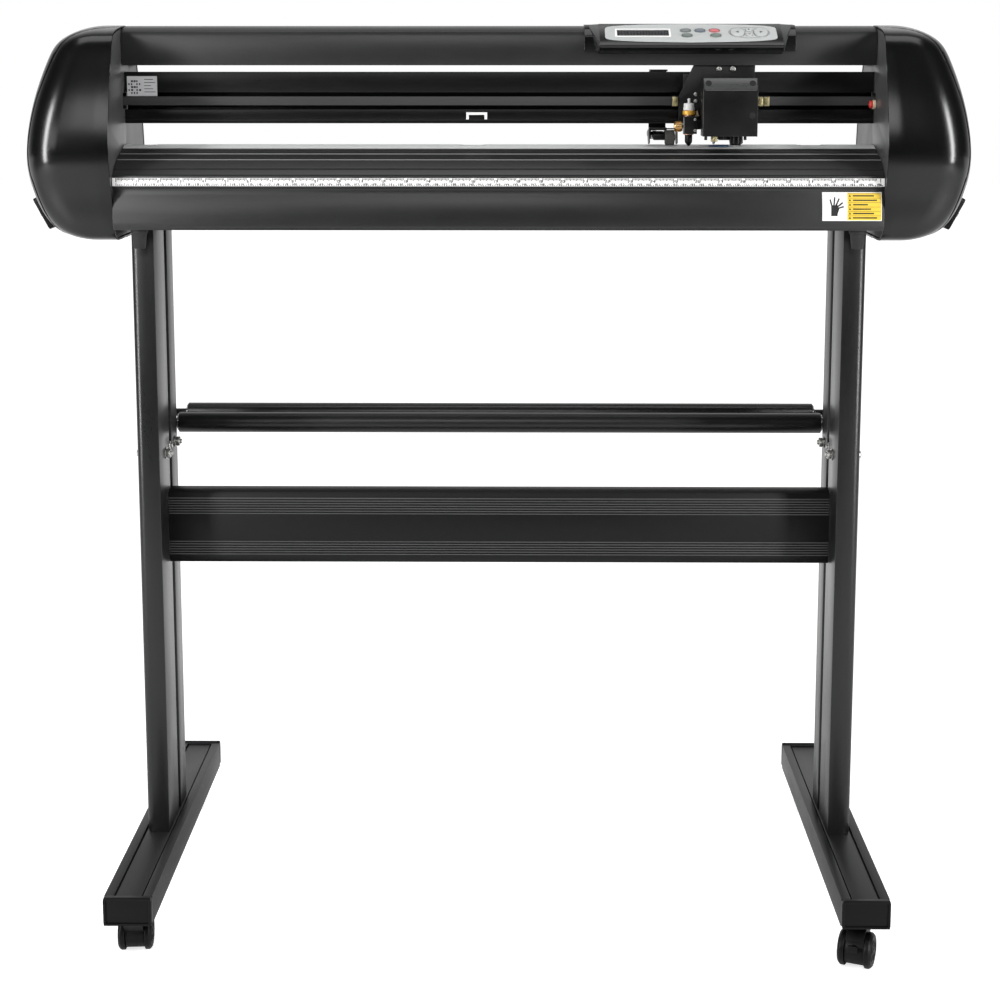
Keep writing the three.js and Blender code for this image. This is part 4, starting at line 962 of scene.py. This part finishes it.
# Raised lands between the grooves of the cross panel, and the bead along its top, coloured lighter than the
# panel as painted highlight of light catching the ribs and the top edge.
panel_x, panel_z = grown(span("cross_panel", 0), -0.4), span("cross_panel", 2)
PANEL_FRONT, PITCH = -14, 3.1
lands = [block(panel_x, (PANEL_FRONT - 0.15, PANEL_FRONT + 0.3), (z + 1.95 + PITCH * i, z + 3.05 + PITCH * i))
         for z in (panel_z[0] + 11, panel_z[1] - 27) for i in range(-1, 5)]
piece("panel_land_highlights", lands, "root", "rib_highlight", 0)
bead = block(panel_x, (PANEL_FRONT - 0.3, PANEL_FRONT + 0.3), (panel_z[1] - 9.6, panel_z[1] - 8.1))
piece("panel_bead_highlight", [bead], "root", "rib_highlight", 0.25, 3)

INNER, OUTER, BRACKET = 396.5, 423.5, 426.8  # X of the posts' two sides and of the roll bracket's outer face
for s in SIDES:
    nuts, bolts = [], []
    for y, z, base in ((-18, 539, INNER), (13, 542, INNER + 6), (45, 541, INNER)):
        at = (y, z)
        tip = [(0, base - 8.4), (2.3, base - 8.4), (2.8, base - 7.9), (2.8, base), (0, base)]
        nuts += [washer("x", at, (base - 1.2, base), 2.6, 7),
                 hex_nut("x", at, (base - 6.2, base - 1.2), 10.5, 2.6), turned("x", tip, at, 16)]
        bolts.append(dome_head("x", at, BRACKET, 4.4, 5.2))
    piece(f"bracket_nuts_{s}", [sided(p, s) for p in nuts], "root", "zinc", 0.15)
    piece(f"bracket_bolts_{s}", [sided(p, s) for p in bolts], "root", "zinc", 0.15)
    heads = [dome_head("x", (0, z), OUTER, 4.2, 5.2) for z in (428, 468)]
    piece(f"panel_bolts_{s}", [sided(p, s) for p in heads], "root", "cap", 0.15)
    for end, out in (("front", -1), ("rear", 1)):
        across, along, tall = (span(f"foot_cap_{end}_right", axis) for axis in range(3))
        face = along[0 if out < 0 else 1]
        outlines = [rounded(grown(across, -inset), grown(tall, -inset), 1.2) for inset in (0.5, 2.9)]
        rim = ring_outline(*outlines, "y", sorted((face - out * 0.5, face + out * 1.4)))
        piece(f"foot_cap_rim_{end}_{s}", [sided(rim, s)], "root", "cap", 0.2)
    for tube, at in (("front", (86, 557)), ("rear", (154, 557))):
        bush = [(6.2, 398.05), (10.6, 398.05), (10.6, 399.2), (9.4, 400), (6.2, 400), (6.2, 398.05)]
        piece(f"roll_{tube}_bush_{s}", [sided(turned("x", bush, at), s)], "root", "steel", 0.1)

HUB = [(0, 17.9), (11, 17.9), (12.6, 18.5), (12.6, 19.2), (10.8, 19.2), (10.2, 18.4), (4.2, 18.4),
       (3.6, 19.4), (0, 19.4)]
WHEEL_AT = (18, 20)  # Y and Z of the wheels' axle, from the stem
wheel_side = [turned("x", HUB, WHEEL_AT)]
for i in range(6):
    c, w = math.cos(2 * math.pi * i / 6), math.sin(2 * math.pi * i / 6)
    spoke = [(WHEEL_AT[0] + r * c - h * w, WHEEL_AT[1] + r * w + h * c)
             for r, h in ((4.4, -0.7), (10.6, -0.7), (10.6, 0.7), (4.4, 0.7))]
    wheel_side.append(prism("x", spoke, (18.2, 19.0)))
hubs = wheel_side + [flipped(part) for part in wheel_side]
for corner, degrees in (("front_left", 4), ("front_right", 158), ("rear_left", 83), ("rear_right", -97)):
    x = -POST_X if corner.endswith("left") else POST_X
    y = -CASTER_Y if corner.startswith("front") else CASTER_Y
    place = Matrix.Translation((x, y, 0)) @ Matrix.Rotation(math.radians(degrees), 4, "Z")
    parts = [moved(part, place) for part in hubs]
    piece(f"caster_hubs_{corner}", parts, f"caster_wheels_{corner}", "cap", 0.25)
    stem = washer("z", (0, 0), (49.2, 50), 5.2, 10.5)
    piece(f"caster_washer_{corner}", [moved(stem, place)], f"caster_fork_{corner}", "zinc", 0)

# ---- camera, light, floor

camera = add_object("camera", bpy.data.cameras.new("camera"))
camera.location = (0.025, -2.259, 1.0)
camera.rotation_euler = (math.radians(90 - 8.83), 0, math.radians(0.59))
camera.data.lens = 69.1
camera.data.sensor_width = 36
camera.data.shift_y = -0.14
bpy.context.scene.camera = camera
bpy.context.scene.view_settings.view_transform = "Standard"


def lamp(name, at, to, size, power):
    """A rectangular light that stands at one place and faces another."""
    data = bpy.data.lights.new(name, "AREA")
    data.shape = "RECTANGLE"
    data.size, data.size_y = size
    data.energy = power
    obj = add_object(name, data)
    obj.location = at
    obj.rotation_euler = (Vector(to) - Vector(at)).to_track_quat("-Z", "Y").to_euler()


lamp("top_softbox", (0, -0.2, 2.9), (0, 0, 0.6), (3.0, 1.2), 24)
lamp("left_strip", (-2.2, -1.5, 1.25), (-0.5, 0, 0.9), (0.36, 2.0), 58)
lamp("right_strip", (2.2, -1.5, 1.25), (0.5, 0, 0.9), (0.36, 2.0), 58)
lamp("left_soft", (-1.9, -2.6, 1.7), (-0.3, 0, 0.85), (0.9, 0.9), 6)
lamp("front_fill", (-0.3, -3.2, 2.6), (0, 0, 0.6), (2.2, 0.9), 22)


def fading(tree, value, start, end, low, high):
    """A number that rises smoothly from low to high while the value goes from start to end."""
    limits = {"Value": value, "From Min": start, "From Max": end, "To Min": low, "To Max": high}
    return add_node(tree, "MapRange", "Result", limits, interpolation_type="SMOOTHSTEP")


# White paper behind the object and a darker studio in front of it, seen white by the camera.
WHITE = (1, 1, 1, 1)
STUDIO, BACKDROP = 0.03, 0.8  # brightness in front of the object and behind it
world = bpy.data.worlds.new("studio")
bpy.context.scene.world = world
world.use_nodes = True
sky = world.node_tree
around = add_node(sky, "TexCoord", "Generated", {})
ahead = add_node(sky, "SeparateXYZ", "Y", {"Vector": around})
lit = sky.nodes["Background"]
feed(sky, lit, {"Color": WHITE, "Strength": fading(sky, ahead, 0.1, 0.9, STUDIO, BACKDROP)})
seen = add_node(sky, "Background", 0, {"Color": WHITE})
by_camera = add_node(sky, "LightPath", "Is Camera Ray", {})
either = add_node(sky, "MixShader", 0, {0: by_camera, 1: lit.outputs[0], 2: seen})
feed(sky, sky.nodes["World Output"], {"Surface": either})

LOOK["floor"] = finish("pale_floor", (0.86, 0.86, 0.86), 0.7, vary=0.01, patch=2, grain=300, relief=0.02,
                       specular=0.2)
paper = LOOK["floor"].node_tree
place = add_node(paper, "TexCoord", "Object", {})
far = add_node(paper, "VectorMath", "Value", {0: place}, operation="LENGTH")
ahead = add_node(paper, "SeparateXYZ", "Y", {"Vector": place})
by_camera = add_node(paper, "LightPath", "Is Camera Ray", {})
glow = add_node(paper, "MapRange", "Result", {
    "Value": by_camera, "To Min": fading(paper, ahead, 0.0, 1.6, STUDIO, BACKDROP),
    "To Max": fading(paper, far, 0.8, 4.0, 0.7, 1.0)})
feed(paper, paper.nodes["Principled BSDF"], {"Emission Color": WHITE, "Emission Strength": glow})
floor_shape = bmesh.new()
bmesh.ops.create_circle(floor_shape, cap_ends=True, radius=14, segments=96)
floor_mesh = bpy.data.meshes.new("floor")
floor_shape.to_mesh(floor_mesh)
floor_shape.free()
floor = add_object("floor", floor_mesh)
floor.location = (0, 0, -0.0005)
floor_mesh.materials.append(LOOK["floor"])
